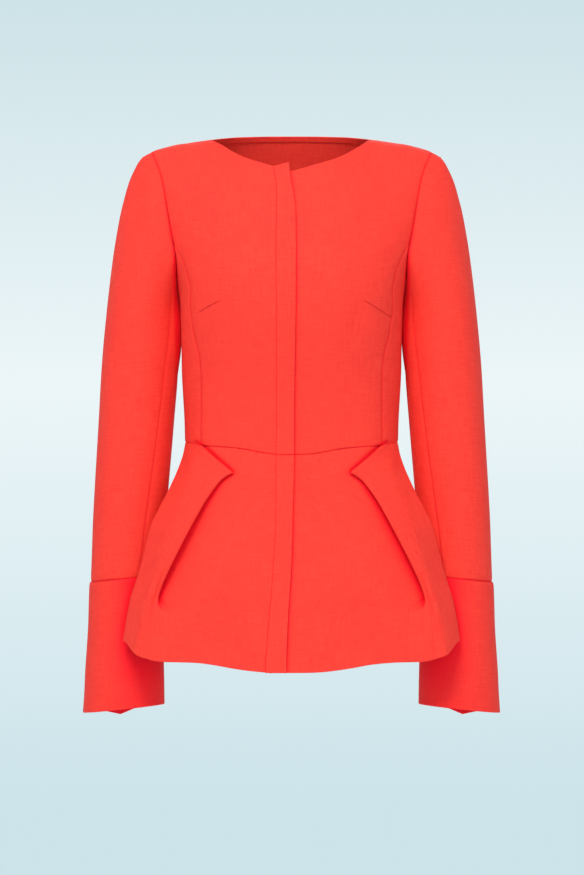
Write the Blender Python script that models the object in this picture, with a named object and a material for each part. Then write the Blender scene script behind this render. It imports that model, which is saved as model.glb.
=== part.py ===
"""A fitted collarless jacket with long sleeves and a folded peplum; each piece is a thin wall of cloth."""

import math

import bmesh
import bpy
import numpy as np

# Driving dimensions in metres. X is across, minus Y the front, Z up, with the origin between the shoulders.
NAME = "peplum_jacket"
CLOTH = 0.0012  # wall: crepe, interlining and lining together
SEAM = 0.0003  # space between two pieces at a seam
NECK_SIDE = 0.1070  # half of the neck opening along the shoulder line
TORSO_POWER = 2.4  # roundness of a level section: 2 is an ellipse
CHEST = -0.150  # level above which front and back close toward the shoulder line
SHOULDER_ROUND = 2.2
SHOULDER_CLIMB = 1.7  # how much closer the rows come toward the shoulder line
BUST_SIDE, BUST_LEVEL, BUST_REACH, BUST_RISE = 0.078, -0.205, 0.062, 0.011
UNDERLAP = 0.0235  # how far the left front runs on under the strip's edge
STRIP_DROP = CLOTH + 0.0008  # how deep the left front lies below the strip
STRIP_FADE = 0.055  # width over which the left front comes back up
ARM_LEVEL = -0.105  # middle of the armhole
CUFF_SPLIT = math.radians(278)  # where the cuff closes, round the arm from the outside over the front
COLOUR = (0.78, 0.075, 0.050, 1.0)


def table(names, *rows):
    """Columns by name; the first one is what the others are read against."""
    return dict(zip(names.split(), np.array(sorted(rows), float).T))


def read(columns, name, at):
    """A column's value at a place along the first column, on a cubic that doesn't overshoot."""
    along = next(iter(columns.values()))
    value = columns[name]
    span = np.diff(along)
    slope = np.diff(value) / span
    tangent = np.concatenate([slope[:1], (slope[1:] + slope[:-1]) / 2, slope[-1:]])
    turn = slope[1:] * slope[:-1] <= 0
    tangent[1:-1][turn] = 0
    limit = 3 * np.minimum(np.abs(np.append(slope, slope[-1])), np.abs(np.append(slope[0], slope)))
    tangent = np.clip(tangent, -limit, limit)
    at = np.clip(np.asarray(at, float), along[0], along[-1])
    k = np.clip(np.searchsorted(along, at) - 1, 0, len(span) - 1)
    t = (at - along[k]) / span[k]
    start = (1 + 2 * t) * (1 - t) ** 2 * value[k] + t * (1 - t) ** 2 * span[k] * tangent[k]
    end = t * t * (3 - 2 * t) * value[k + 1] + t * t * (t - 1) * span[k] * tangent[k + 1]
    return start + end


def ease(t):
    t = np.clip(t, 0, 1)
    return t * t * (3 - 2 * t)


# Level sections of the bodice
TORSO = table(
    "height half_width front back",
    (0.060, 0.190, 0.0660, 0.0840),
    (0.000, 0.190, 0.0740, 0.0900),
    (-0.050, 0.188, 0.0850, 0.0970),
    (-0.100, 0.178, 0.0990, 0.1040),
    (-0.150, 0.1590, 0.1120, 0.1070),
    (-0.192, 0.1442, 0.1180, 0.1050),
    (-0.250, 0.1405, 0.1150, 0.0970),
    (-0.300, 0.1395, 0.1040, 0.0880),
    (-0.350, 0.1368, 0.0945, 0.0790),
    (-0.380, 0.1358, 0.0920, 0.0760),
    (-0.410, 0.1358, 0.0920, 0.0760),
)
SHOULDER = table(
    "across height",
    (0.000, 0.0600),
    (0.050, 0.0440),
    (0.090, 0.0130),
    (0.107, 0.0005),
    (0.140, -0.0040),
    (0.1575, -0.0080),
    (0.173, -0.0120),
    (0.190, -0.0180),
)
NECK_FRONT = table(
    "across height",
    (-0.030, -0.0520),
    (0.000, -0.0475),
    (0.006, -0.0455),
    (0.018, -0.0416),
    (0.032, -0.0377),
    (0.0458, -0.0333),
    (0.0580, -0.0289),
    (0.0745, -0.0200),
    (0.0875, -0.0108),
    (0.0955, -0.0058),
    (0.1070, 0.0005),
)
NECK_BACK = table(
    "across height", (0.0, 0.012), (0.040, 0.0112), (0.075, 0.0085), (0.095, 0.0045), (0.107, 0.0005)
)
WAIST_FRONT = table(
    "across height", (0.0, -0.4016), (0.020, -0.4012), (0.064, -0.3940), (0.113, -0.3895), (0.1358, -0.3847)
)
WAIST_BACK = table("across height", (0.0, -0.380), (0.080, -0.3815), (0.1358, -0.3847))
ARMHOLE_FRONT = table(
    "height across",
    (-0.0141, 0.1790),
    (-0.0420, 0.1675),
    (-0.0620, 0.1622),
    (-0.0860, 0.1580),
    (-0.1140, 0.1532),
    (-0.1330, 0.1497),
)
ARMHOLE_BACK = table(
    "height across",
    (-0.0141, 0.1790),
    (-0.0450, 0.1715),
    (-0.0800, 0.1655),
    (-0.1100, 0.1590),
    (-0.1300, 0.1520),
)
PRINCESS = table(
    "height across",
    (-0.133, 0.1497),
    (-0.150, 0.1405),
    (-0.166, 0.1335),
    (-0.180, 0.1288),
    (-0.205, 0.1272),
    (-0.231, 0.1268),
    (-0.252, 0.1220),
    (-0.273, 0.1168),
    (-0.3076, 0.1136),
    (-0.358, 0.1137),
    (-0.400, 0.1144),
)
BACK_SEAM = table(
    "height across",
    (-0.130, 0.1520),
    (-0.160, 0.1270),
    (-0.220, 0.1050),
    (-0.300, 0.0890),
    (-0.400, 0.0800),
)
UNDERARM = -0.192
WAIST_LEVEL = -0.386
SEAM_ROWS = 9  # rows from the waist up to the armhole, the same on both sides of a seam
FRONT_ROWS = 15  # rows from the waist up to the shoulder

# Front strip: its seam and its free edge, and how far the edge stands off
STRIP = table(
    "height seam edge lift",
    (-0.030, -0.0248, -0.0046, 0.0030),
    (-0.050, -0.0215, -0.0026, 0.0022),
    (-0.075, -0.0187, 0.0022, 0.0008),
    (-0.094, -0.0184, 0.0044, 0.0002),
    (-0.120, -0.0192, 0.0049, 0.0),
    (-0.160, -0.0195, 0.0049, 0.0),
    (-0.210, -0.0187, 0.0047, 0.0),
    (-0.360, -0.0187, 0.0026, 0.0),
    (-0.400, -0.0195, 0.0026, 0.0),
    (-0.470, -0.0195, 0.0010, 0.0),
    (-0.540, -0.0226, -0.0009, 0.0),
    (-0.590, -0.0265, -0.0042, 0.0),
    (-0.640, -0.0307, -0.0065, 0.0),
    (-0.680, -0.0332, -0.0074, 0.0),
)
STRIP_TOP_SEAM, STRIP_TOP_EDGE = -0.0402, -0.0357

# Peplum, from the waist seam (0) to the hem (1)
PEPLUM_FRONT = table(
    "down centre half_width power",
    (0.000, 0.0920, 0.1358, 2.40),
    (0.127, 0.0985, 0.150, 2.35),
    (0.251, 0.1030, 0.165, 2.30),
    (0.415, 0.1100, 0.190, 2.20),
    (0.600, 0.1180, 0.215, 2.10),
    (0.800, 0.1270, 0.240, 2.05),
    (1.000, 0.1350, 0.260, 2.00),
)
PEPLUM_BACK = table(
    "down half_width depth",
    (0.000, 0.1358, 0.0760),
    (0.300, 0.1425, 0.1000),
    (0.600, 0.1490, 0.1220),
    (1.000, 0.1550, 0.1430),
)
FOLD = table(
    "down edge overlap lift sink round",
    (0.000, 0.1110, 0.006, 0.0022, 0.0034, 0.0034),
    (0.030, 0.1030, 0.010, 0.0024, 0.0034, 0.0034),
    (0.065, 0.0922, 0.015, 0.0026, 0.0034, 0.0034),
    (0.100, 0.0809, 0.020, 0.0028, 0.0034, 0.0034),
    (0.127, 0.0723, 0.024, 0.0032, 0.0034, 0.0036),
    (0.159, 0.0859, 0.025, 0.0044, 0.0030, 0.0038),
    (0.205, 0.0965, 0.026, 0.0076, 0.0016, 0.0032),
    (0.251, 0.1050, 0.026, 0.0105, 0.0006, 0.0028),
    (0.415, 0.1295, 0.022, 0.0155, 0.0000, 0.0024),
    (0.597, 0.1538, 0.013, 0.0155, 0.0000, 0.0024),
    (0.655, 0.1605, 0.006, 0.0140, 0.0000, 0.0024),
    (0.707, 0.1649, 0.001, 0.0115, 0.0000, 0.0024),
    (0.782, 0.1674, -0.006, 0.0070, 0.0000, 0.0024),
    (1.000, 0.1660, -0.020, 0.0000, 0.0000, 0.0024),
)
HIP = table(
    "down ridge_x ridge_y outer_x outer_y tuck_x tuck_y",
    (0.000, 0.1235, -0.0525, 0.1335, -0.0285, 0.1355, -0.0104),
    (0.030, 0.1238, -0.0580, 0.1348, -0.0300, 0.1368, -0.0095),
    (0.127, 0.1250, -0.0755, 0.1430, -0.0370, 0.1400, -0.0130),
    (0.251, 0.1345, -0.0850, 0.1570, -0.0470, 0.1460, -0.0235),
    (0.415, 0.1490, -0.0985, 0.1775, -0.0560, 0.1510, -0.0310),
    (0.597, 0.1640, -0.1000, 0.1890, -0.0585, 0.1545, -0.0340),
    (0.707, 0.1745, -0.0990, 0.1970, -0.0600, 0.1560, -0.0350),
    (0.782, 0.1805, -0.0985, 0.2030, -0.0610, 0.1575, -0.0360),
    (1.000, 0.1930, -0.0995, 0.2124, -0.0620, 0.1600, -0.0400),
)
HEM_FRONT = table(
    "across height",
    (0.0, -0.6696),
    (0.0337, -0.6689),
    (0.073, -0.6643),
    (0.1003, -0.6598),
    (0.1243, -0.6578),
    (0.1577, -0.6578),
    (0.1750, -0.6560),
)
HEM_RIDGE, HEM_OUTER, HEM_TUCK, HEM_SIDE, HEM_BACK = -0.6500, -0.6340, -0.6360, -0.6400, -0.6480
HEM_LEVEL_TO = 0.170  # the hem follows the panel to here, then rises over the fold
WAIST_SIDE = -0.3845
SIDE_ANGLE = math.radians(12)  # the peplum's side seam, behind the widest point
FOLD_IN, FOLD_OUT = 0.0006, 0.0022  # radii of the hidden and the visible fold
UNFOLDED = 0.024  # width that the fold takes where it has opened out
SINK_REACH = 0.010  # the panel sinks below the fold over this width
FOLD_OPENS = 0.006  # the fold opens out where its overlap is less than this
WING_BULGE = 0.0015  # roundness of the cloth between the fold and the hip
PLAIN_COLUMNS = 7
PEPLUM_ROWS = np.array([
    *(0.0, 0.030, 0.065, 0.100, 0.127, 0.159, 0.205, 0.251),  # the fold's tip
    *(0.33, 0.415, 0.505, 0.597, 0.655, 0.707, 0.782, 0.87, 1.0),  # the fold and the hem
])

# Sleeve rings, level by level: the middle, half of the width and half of the depth
ARM = table(
    "height middle_x middle_y half_width half_depth",
    (-0.204, 0.1903, 0.0030, 0.0440, 0.0575),
    (-0.250, 0.1922, 0.0045, 0.0470, 0.0560),
    (-0.296, 0.1951, 0.0060, 0.0478, 0.0545),
    (-0.342, 0.1971, 0.0060, 0.0483, 0.0530),
    (-0.388, 0.2002, 0.0055, 0.0478, 0.0515),
    (-0.434, 0.2034, 0.0040, 0.0472, 0.0500),
    (-0.480, 0.2065, 0.0020, 0.0465, 0.0490),
    (-0.526, 0.2085, 0.0000, 0.0459, 0.0480),
    (-0.570, 0.2100, -0.0010, 0.0459, 0.0475),
)
CUFF = table(
    "height middle_x middle_y half_width half_depth",
    (-0.545, 0.2100, -0.0010, 0.0467, 0.0482),
    (-0.580, 0.2108, -0.0015, 0.0472, 0.0488),
    (-0.602, 0.2112, -0.0020, 0.0473, 0.0490),
    (-0.633, 0.2114, -0.0020, 0.0482, 0.0497),
    (-0.663, 0.2123, -0.0020, 0.0497, 0.0508),
    (-0.694, 0.2126, -0.0020, 0.0507, 0.0517),
    (-0.740, 0.2138, -0.0020, 0.0524, 0.0530),
)
SLEEVE_SEAMS = table(
    "height front back",
    (-0.192, 150, 242),
    (-0.250, 141, 240),
    (-0.342, 131, 238),
    (-0.434, 124, 237),
    (-0.570, 112, 236),
)
BICEP = -0.225  # level where the sleeve head ends and the rings begin
ARM_ROUND = 0.050  # radius that a seam's width is turned into an angle with
CAP_ROWS, ARM_ROWS = 6, 9
CAP_CLOSER = 1.25  # how much closer the rows of the sleeve head come to the armhole
TOP_CLOSER = 1.3  # how much closer the columns are over the top of the arm
CUFF_TOP = (-0.5595, 0.0050, 0.0065)  # level, fall to the outside, rise to the front
CUFF_HEM = (-0.7255, 0.0055, 0.0065)
CUFF_CORNER = 0.0030  # how far the hem dips at the closing
CAP_START, CAP_END = 0.53, 0.85  # fullness of the sleeve head at the armhole and at the upper arm
CAP_OUT = 0.30  # how far outward it leaves under the arm
CAP_FALL = 0.20  # how far downward it leaves on top
CAP_SPREAD = 0.42  # how far it leaves to the front and to the back


def torso_round(across, height, depth):
    share = np.clip(np.abs(across) / read(TORSO, "half_width", height), 0, 1)
    rise = np.clip((height - CHEST) / (read(SHOULDER, "height", np.abs(across)) - CHEST), 0, 1)
    closing = (1 - rise**SHOULDER_ROUND) ** (1 / SHOULDER_ROUND)
    return read(TORSO, depth, height) * (1 - share**TORSO_POWER) ** (1 / TORSO_POWER) * closing


def front_point(across, height):
    """A point of the front: the round of the section, with the fullness that the dart gives."""
    far = ((np.abs(across) - BUST_SIDE) / BUST_REACH) ** 2 + ((height - BUST_LEVEL) / BUST_REACH) ** 2
    depth = torso_round(across, height, "front") + BUST_RISE * np.exp(-far)
    return np.stack([across, -depth, height], -1)


def back_point(across, height):
    return np.stack([across, torso_round(across, height, "back"), height], -1)


def rising(edge):
    """How far up an edge each of its rows is, from 0 to 1."""
    return (edge[:, 1] - edge[0, 1]) / (edge[-1, 1] - edge[0, 1])


def patch(left, right, bottom, top):
    """Fill between four edges of (across, height) rows: left and right run up, bottom and top out."""
    u = np.linspace(0, 1, len(bottom))[None, :, None]
    v = rising(right)[:, None, None]
    sides = (1 - u) * left[:, None] + u * right[:, None]
    ends = (1 - v) * bottom[None] + v * top[None]
    corners = (1 - v) * ((1 - u) * bottom[0] + u * bottom[-1]) + v * ((1 - u) * top[0] + u * top[-1])
    return sides + ends - corners


def outer_edge(rows, seam, armhole, waist):
    """Edge of a front or back: up the seam, then up the armhole with closer rows toward the shoulder."""
    low = read(waist, "height", seam["across"][0]) + SEAM / 2
    junction, tip = armhole["height"][0], armhole["height"][-1]
    below = SEAM_ROWS
    climb = 1 - (1 - np.linspace(0, 1, rows - below + 1)[1:]) ** SHOULDER_CLIMB
    up = np.concatenate([np.linspace(low, junction, below + 1), junction + (tip - junction) * climb])
    across = np.where(up <= junction, read(seam, "across", up), read(armhole, "across", up))
    return np.stack([across - SEAM / 2, up], -1)


def top_edge(inner, outer, columns, neck):
    """Neckline, then the shoulder line to the sleeve."""
    split = columns * 2 // 3
    across = np.concatenate([
        np.linspace(inner, NECK_SIDE, split + 1),
        np.linspace(NECK_SIDE, outer, columns - split + 1)[1:],
    ])
    height = np.where(across < NECK_SIDE, read(neck, "height", across), read(SHOULDER, "height", across))
    return np.stack([across, height], -1)


def panel(inner_at, seam, armhole, waist, neck, columns, rows):
    """A front or half of the back, from its inner edge to the seam and armhole, as (across, height)."""
    right = outer_edge(rows, seam, armhole, waist)
    top = top_edge(float(inner_at(neck["height"][1])), right[-1, 0], columns, neck)
    right[-1] = top[-1]
    low = read(waist, "height", 0.0) + SEAM / 2
    up = low + (top[0, 1] - low) * rising(right)
    left = np.stack([inner_at(up), up], -1)
    top[0] = left[-1]
    out = np.linspace(left[0, 0], right[0, 0], columns + 1)
    bottom = np.stack([out, read(waist, "height", np.abs(out)) + SEAM / 2], -1)
    left[0], right[0] = bottom[0], bottom[-1]
    return patch(left, right, bottom, top)


def front_panel(inner_at, columns=12, rows=FRONT_ROWS):
    flat = panel(inner_at, PRINCESS, ARMHOLE_FRONT, WAIST_FRONT, NECK_FRONT, columns, rows)
    points = front_point(flat[..., 0], flat[..., 1])
    points[..., 1] = np.minimum(points[..., 1], -SEAM / 2)
    return points


def back_panel(columns=9, rows=FRONT_ROWS):
    half = panel(np.zeros_like, BACK_SEAM, ARMHOLE_BACK, WAIST_BACK, NECK_BACK, columns, rows)
    whole = np.concatenate([half[:, :0:-1] * (-1, 1), half], 1)
    points = back_point(whole[..., 0], whole[..., 1])
    points[..., 1] = np.maximum(points[..., 1], SEAM / 2)
    return points


def section_angle(across, height):
    """Angle round a level section at which it is this far across."""
    return np.arccos(np.clip(across / read(TORSO, "half_width", height), 0, 1) ** (TORSO_POWER / 2))


def side_point(angle, height):
    """A point of a side body; the angle is minus to the front and plus to the back."""
    across = read(TORSO, "half_width", height) * np.cos(angle) ** (2 / TORSO_POWER)
    front = front_point(across, height)
    back = back_point(across, height)
    depth = np.where(angle < 0, front[..., 1], back[..., 1])
    return np.stack([across, depth, height], -1)


def side_top(share):
    """Level of the underarm curve, from the front seam (0) to the back seam (1)."""
    junction = (1 - share) * PRINCESS["height"][-1] + share * BACK_SEAM["height"][-1]
    return UNDERARM + (junction - UNDERARM) * np.abs(2 * share - 1) ** 2.0


def side_panel(columns=11, rows=SEAM_ROWS, gap=SEAM / 2):
    share = np.linspace(0, 1, columns + 1)[None, :]
    down = np.linspace(0, 1, rows + 1)[:, None]
    start = -section_angle(read(PRINCESS, "across", WAIST_LEVEL), WAIST_LEVEL)
    end = section_angle(read(BACK_SEAM, "across", WAIST_LEVEL), WAIST_LEVEL)
    turn = start + (end - start) * share
    across = read(TORSO, "half_width", WAIST_LEVEL) * np.cos(turn) ** (2 / TORSO_POWER)
    waist = np.where(turn < 0, read(WAIST_FRONT, "height", across), read(WAIST_BACK, "height", across))
    level = (waist + gap) * (1 - down) + (side_top(share) - gap) * down
    front = -section_angle(read(PRINCESS, "across", level) + gap, level)
    back = section_angle(read(BACK_SEAM, "across", level) + gap, level)
    angle = front + (back - front) * share
    return side_point(angle, level)


def armhole_loop(steps=48):
    """The armhole edge as a closed row of points, from the shoulder down the front and up the back."""
    down = np.linspace(ARMHOLE_FRONT["height"][-1], ARMHOLE_FRONT["height"][0], steps)
    front = front_point(read(ARMHOLE_FRONT, "across", down), down)
    under = side_panel(steps, 1, 0.0)[-1]
    up = np.linspace(ARMHOLE_BACK["height"][0], ARMHOLE_BACK["height"][-1], steps)
    back = back_point(read(ARMHOLE_BACK, "across", up), up)
    return np.concatenate([front, under[1:-1], back[:-1]])


def armhole_point(turn):
    """Point of the armhole edge at an angle round the arm: 0 on top, a quarter turn at the front."""
    loop = armhole_loop()
    around = np.arctan2(-loop[:, 1], loop[:, 2] - ARM_LEVEL) % (2 * math.pi)
    order = np.argsort(around)
    around, loop = around[order], loop[order]
    around = np.concatenate([around[-2:] - 2 * math.pi, around, around[:2] + 2 * math.pi])
    loop = np.concatenate([loop[-2:], loop, loop[:2]])
    turn = turn % (2 * math.pi)
    return np.stack([np.interp(turn, around, loop[:, k]) for k in range(3)], -1)


def ring_point(rings, turn, height):
    """Point of a sleeve or cuff ring; the turn is 0 at the outside and a quarter at the front."""
    across = read(rings, "middle_x", height) + read(rings, "half_width", height) * np.cos(turn)
    depth = read(rings, "middle_y", height) - read(rings, "half_depth", height) * np.sin(turn)
    return np.stack([across, depth, height], -1)


def tilted(level, turn):
    return level[0] - level[1] * np.cos(turn) + level[2] * np.sin(turn)


def gathered(start, end, even):
    """Even shares between two turns, drawn closer over the top of the arm."""
    share = np.linspace(0, 1, 200)
    turn = start + (end - start) * share
    close = np.cumsum(1 + TOP_CLOSER * np.exp(-((turn / 0.7) ** 2)))
    return np.interp(even, (close - close[0]) / (close[-1] - close[0]), share)


def sleeve_head(turn, t):
    """A row of the sleeve head, from the armhole (0) to the upper arm (1)."""
    on_top = (1 + np.cos(turn)) / 2
    out = CAP_OUT + (1 - CAP_OUT) * on_top
    fall = 1 - (1 - CAP_FALL) * on_top
    away = np.stack([out, -CAP_SPREAD * np.sin(turn) * (1 - 0.4 * on_top), -fall], -1)
    away /= np.linalg.norm(away, axis=-1, keepdims=True)
    under = np.clip(-np.cos(turn), 0, 1)[:, None]
    begin = armhole_point(turn) + SEAM * (away + np.array([1, 0, 0]) * (1 + 2 * under))
    end = ring_point(ARM, turn, np.full_like(turn, BICEP))
    along = ring_point(ARM, turn, np.full_like(turn, BICEP - 0.01)) - end
    along /= np.linalg.norm(along, axis=-1, keepdims=True)
    reach = np.linalg.norm(end - begin, axis=-1, keepdims=True)
    between = (1 + 2 * t) * (1 - t) ** 2 * begin + t * t * (3 - 2 * t) * end
    return between + reach * (CAP_START * t * (1 - t) ** 2 * away + CAP_END * t * t * (t - 1) * along)


def sleeve_panel(first, last, columns):
    """Rows of a sleeve piece, armhole to cuff, between two seams given as (column, whole turns)."""
    even = np.linspace(0, 1, columns + 1)
    edge = SEAM / 2 / ARM_ROUND
    rows = []
    for k in range(CAP_ROWS + ARM_ROWS + 1):
        cap = min(1, k / CAP_ROWS)
        arm = max(0, (k - CAP_ROWS) / ARM_ROWS)
        level = UNDERARM + (BICEP - UNDERARM) * cap + (CUFF_TOP[0] - BICEP) * arm
        start = math.radians(read(SLEEVE_SEAMS, first[0], level) + 360 * first[1])
        end = math.radians(read(SLEEVE_SEAMS, last[0], level) + 360 * last[1])
        turn = (start + edge) + (end - start - 2 * edge) * gathered(start, end, even)
        if cap < 1:
            rows.append(sleeve_head(turn, cap**CAP_CLOSER))
        else:
            height = (1 - arm) * BICEP + arm * (tilted(CUFF_TOP, turn) + SEAM / 2)
            rows.append(ring_point(ARM, turn, height))
    return np.array(rows[::-1])


def upper_sleeve():
    return sleeve_panel(("back", -1), ("front", 0), columns=18)


def under_sleeve():
    return sleeve_panel(("front", 0), ("back", 0), columns=8)


def cuff_panel(columns=20, rows=6):
    turn = np.linspace(CUFF_SPLIT - 2 * math.pi + SEAM / 0.1, CUFF_SPLIT - SEAM / 0.1, columns + 1)[None, :]
    down = np.linspace(1, 0, rows + 1)[:, None]
    from_split = math.pi - np.abs(turn - CUFF_SPLIT + math.pi)
    corner = CUFF_CORNER * np.exp(-((from_split / 0.35) ** 2))
    height = (1 - down) * (tilted(CUFF_TOP, turn) - SEAM / 2) + down * (tilted(CUFF_HEM, turn) - corner)
    return ring_point(CUFF, turn, height)


def peplum_depth(across, down):
    power = read(PEPLUM_FRONT, "power", down)
    share = np.clip(np.abs(across) / read(PEPLUM_FRONT, "half_width", down), 0, 0.999)
    return -read(PEPLUM_FRONT, "centre", down) * (1 - share**power) ** (1 / power)


def peplum_side(down, angle):
    """Point (across, depth) of the peplum's back at an angle behind the widest point."""
    power = TORSO_POWER
    across = read(PEPLUM_BACK, "half_width", down) * np.cos(angle) ** (2 / power)
    return np.stack([across, read(PEPLUM_BACK, "depth", down) * np.sin(angle) ** (2 / power)], -1)


def spaced(start, end, count):
    """Points between two places, without the two ends."""
    t = np.linspace(0, 1, count + 2)[1:-1, None]
    return (1 - t) * np.asarray(start) + t * np.asarray(end)


def rounded(before, corner, after, reach, count):
    """A soft turn at a corner: a quadratic curve that starts and ends this far along its two sides."""
    corner, before, after = map(np.asarray, (corner, before, after))
    one, two = before - corner, after - corner
    start = corner + one * min(0.45, reach / np.linalg.norm(one))
    end = corner + two * min(0.45, reach / np.linalg.norm(two))
    t = np.linspace(0, 1, count)[:, None]
    return (1 - t) ** 2 * start + 2 * t * (1 - t) * corner + t * t * end


def slope_angle(slope):
    return math.degrees(math.atan(min(max(slope, 0.0), 1.6)))


def fold_turn(wide, deep, start, end, count=5):
    """Points round a fold from one angle to another, about its middle."""
    turn = np.radians(np.linspace(start, end, count))
    return np.stack([wide * np.cos(turn), deep * np.sin(turn)], -1)


def peplum_row(down, inner):
    """One level of a peplum front: the panel, the hip fold over it, then round to the side seam."""
    edge, overlap, lift, sink, soft = (
        float(read(FOLD, key, down)) for key in ("edge", "overlap", "lift", "sink", "round")
    )
    ridge, outer, tuck = (
        np.array([float(read(HIP, key + "_x", down)), float(read(HIP, key + "_y", down))])
        for key in ("ridge", "outer", "tuck")
    )
    side = peplum_side(down, SIDE_ANGLE)

    def below(across):
        return peplum_depth(across, down) + sink * ease((across - edge + SINK_REACH) / SINK_REACH)

    folded = float(ease(overlap / FOLD_OPENS))
    hidden = edge + max(overlap, 0)
    front = float(peplum_depth(edge, down)) - lift
    panel_slope = float(below(hidden) - below(hidden - 0.004)) / 0.004
    under_rise = float(below(hidden)) - front - 2 * (FOLD_IN + FOLD_OUT)
    under_slope = under_rise / max(hidden - edge - soft, 0.004)
    wing_slope = (ridge[1] - front) / (ridge[0] - edge)
    inside = fold_turn(FOLD_IN, FOLD_IN, 90 + slope_angle(panel_slope), -90 + slope_angle(under_slope))
    inside = inside - inside[0] + (hidden - FOLD_IN, float(below(hidden - FOLD_IN)))
    stretch = soft / FOLD_OUT
    outside = fold_turn(
        soft, FOLD_OUT, 90 + slope_angle(under_slope * stretch), 270 + slope_angle(wing_slope * stretch)
    )
    outside = outside + (edge + soft, front + FOLD_OUT)
    under = spaced(inside[-1], outside[0], 2)
    space = np.linspace(2 * FOLD_IN, lift + sink - 2 * FOLD_OUT, 4)[1:-1]
    under[:, 1] = np.minimum(under[:, 1], below(under[:, 0]) - space)
    crease = np.concatenate([inside, under, outside])
    flat_x = np.linspace(edge - UNFOLDED, edge + 0.45 * (ridge[0] - edge), len(crease))
    meet = 0.55 * (float(peplum_depth(edge, down)) - lift) + 0.45 * ridge[1]
    flat_y = peplum_depth(flat_x, down)
    flat_y = flat_y + (meet - flat_y[-1]) * ease(np.linspace(0, 1, len(crease)))
    crease = (1 - folded) * np.stack([flat_x, flat_y], -1) + folded * crease
    stop = min(edge - SINK_REACH, crease[0, 0] - 0.008)
    plain_x = np.append(np.linspace(inner, stop, PLAIN_COLUMNS - 1), (stop + crease[0, 0]) / 2)
    plain = np.stack([plain_x, below(plain_x)], -1)
    top = rounded(crease[-1], ridge, outer, 0.012, 3)
    turned = rounded(ridge, outer, tuck, 0.005, 5)
    inward = rounded(outer, tuck, side, 0.012, 3)
    wing = spaced(crease[-1], top[0], 2)
    wing[:, 1] -= WING_BULGE * folded
    return np.concatenate([
        plain,
        crease,
        wing,
        top,
        spaced(top[-1], turned[0], 2),
        turned,
        spaced(turned[-1], inward[0], 1),
        inward,
        spaced(inward[-1], side, 1),
        side[None],
    ])


def peplum_front(inner_at):
    """Level rows of a peplum front; both ends of each column come from the waist seam and the hem."""
    top, low = float(read(WAIST_FRONT, "height", 0)), float(read(HEM_FRONT, "height", 0))
    rows = np.array([peplum_row(down, float(inner_at(top + (low - top) * down))) for down in PEPLUM_ROWS])
    waist = peplum_heights(rows[0])
    hem = hem_heights(rows[-1])
    down = PEPLUM_ROWS[:, None]
    height = (1 - down) * (waist - SEAM) + down * hem
    return np.concatenate([rows, height[..., None]], -1)[::-1]


def peplum_heights(line):
    """Waist seam along the top row."""
    return np.where(line[:, 1] < 0, read(WAIST_FRONT, "height", np.abs(line[:, 0])), WAIST_SIDE)


def hem_heights(line):
    """Hem along the bottom row: by width on the panel, then by distance from ridge to side."""
    run = np.concatenate([[0], np.cumsum(np.linalg.norm(np.diff(line, axis=0), axis=1))])
    ridge, outer, tuck = (
        run[np.argmin(np.linalg.norm(line - (HIP[key + "_x"][-1], HIP[key + "_y"][-1]), axis=1))]
        for key in ("ridge", "outer", "tuck")
    )
    in_front = line[:, 1] < HIP["ridge_y"][-1] / 2
    start = run[np.argmin(np.where(in_front, np.abs(line[:, 0] - HEM_LEVEL_TO), 1))]
    beyond = table(
        "run height",
        (start, float(read(HEM_FRONT, "height", HEM_LEVEL_TO))),
        (ridge, HEM_RIDGE),
        (outer, HEM_OUTER),
        (tuck, HEM_TUCK),
        (run[-1], HEM_SIDE),
    )
    level = read(HEM_FRONT, "height", np.abs(line[:, 0]))
    return np.where(run <= start, level, read(beyond, "height", run))


def peplum_back(columns=18, rows=8):
    gap = SEAM / 0.076
    angle = np.linspace(SIDE_ANGLE + gap, math.pi - SIDE_ANGLE - gap, columns + 1)[None, :]
    down = np.linspace(0, 1, rows + 1)[:, None]
    c = np.cos(angle)
    across = read(PEPLUM_BACK, "half_width", down) * np.sign(c) * np.abs(c) ** (2 / TORSO_POWER)
    depth = read(PEPLUM_BACK, "depth", down) * np.sin(angle) ** (2 / TORSO_POWER)
    waist = read(WAIST_BACK, "height", np.abs(across[:1])) - SEAM / 2
    hem = HEM_BACK + (HEM_SIDE - HEM_BACK) * np.abs(c) ** 3
    height = (1 - down) * waist + down * hem
    return np.stack([across, depth, height], -1)[::-1, ::-1]


def strip_points(low, high_seam, high_edge, depth_at, up, columns=3):
    """The front strip between two levels, moved out with its free edge."""
    share = np.linspace(0, 1, columns + 1)[None, :]
    up = up[:, None]
    high = high_seam + (high_edge - high_seam) * share
    height = low * (1 - up) + high * up
    across = read(STRIP, "seam", height) + SEAM / 2
    across = across + (read(STRIP, "edge", height) - across) * share
    depth = depth_at(across, height) - read(STRIP, "lift", height) * share**2
    return np.stack([across, depth, height], -1)


def lower_front_depth(across, height):
    waist = read(WAIST_FRONT, "height", np.abs(across))
    return peplum_depth(across, (waist - height) / (waist - read(HEM_FRONT, "height", np.abs(across))))


def under_strip(points, edge):
    """Lower the left front where it runs under the strip."""
    beyond = np.clip((points[..., 0] - edge - 0.003) / STRIP_FADE, 0, 1)
    lowered = points.copy()
    lowered[..., 1] += STRIP_DROP * (1 - ease(beyond))
    return lowered


def direction(points, axis):
    """Unit direction along a grid's rows or columns at each of its points."""
    points = np.moveaxis(points, axis, 0)
    step = np.diff(points, axis=0)
    step /= np.linalg.norm(step, axis=-1, keepdims=True)
    first, last = 1.5 * step[:1] - 0.5 * step[1:2], 1.5 * step[-1:] - 0.5 * step[-2:-1]
    return np.moveaxis(np.concatenate([first, step[1:] + step[:-1], last]), 0, axis)


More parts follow.
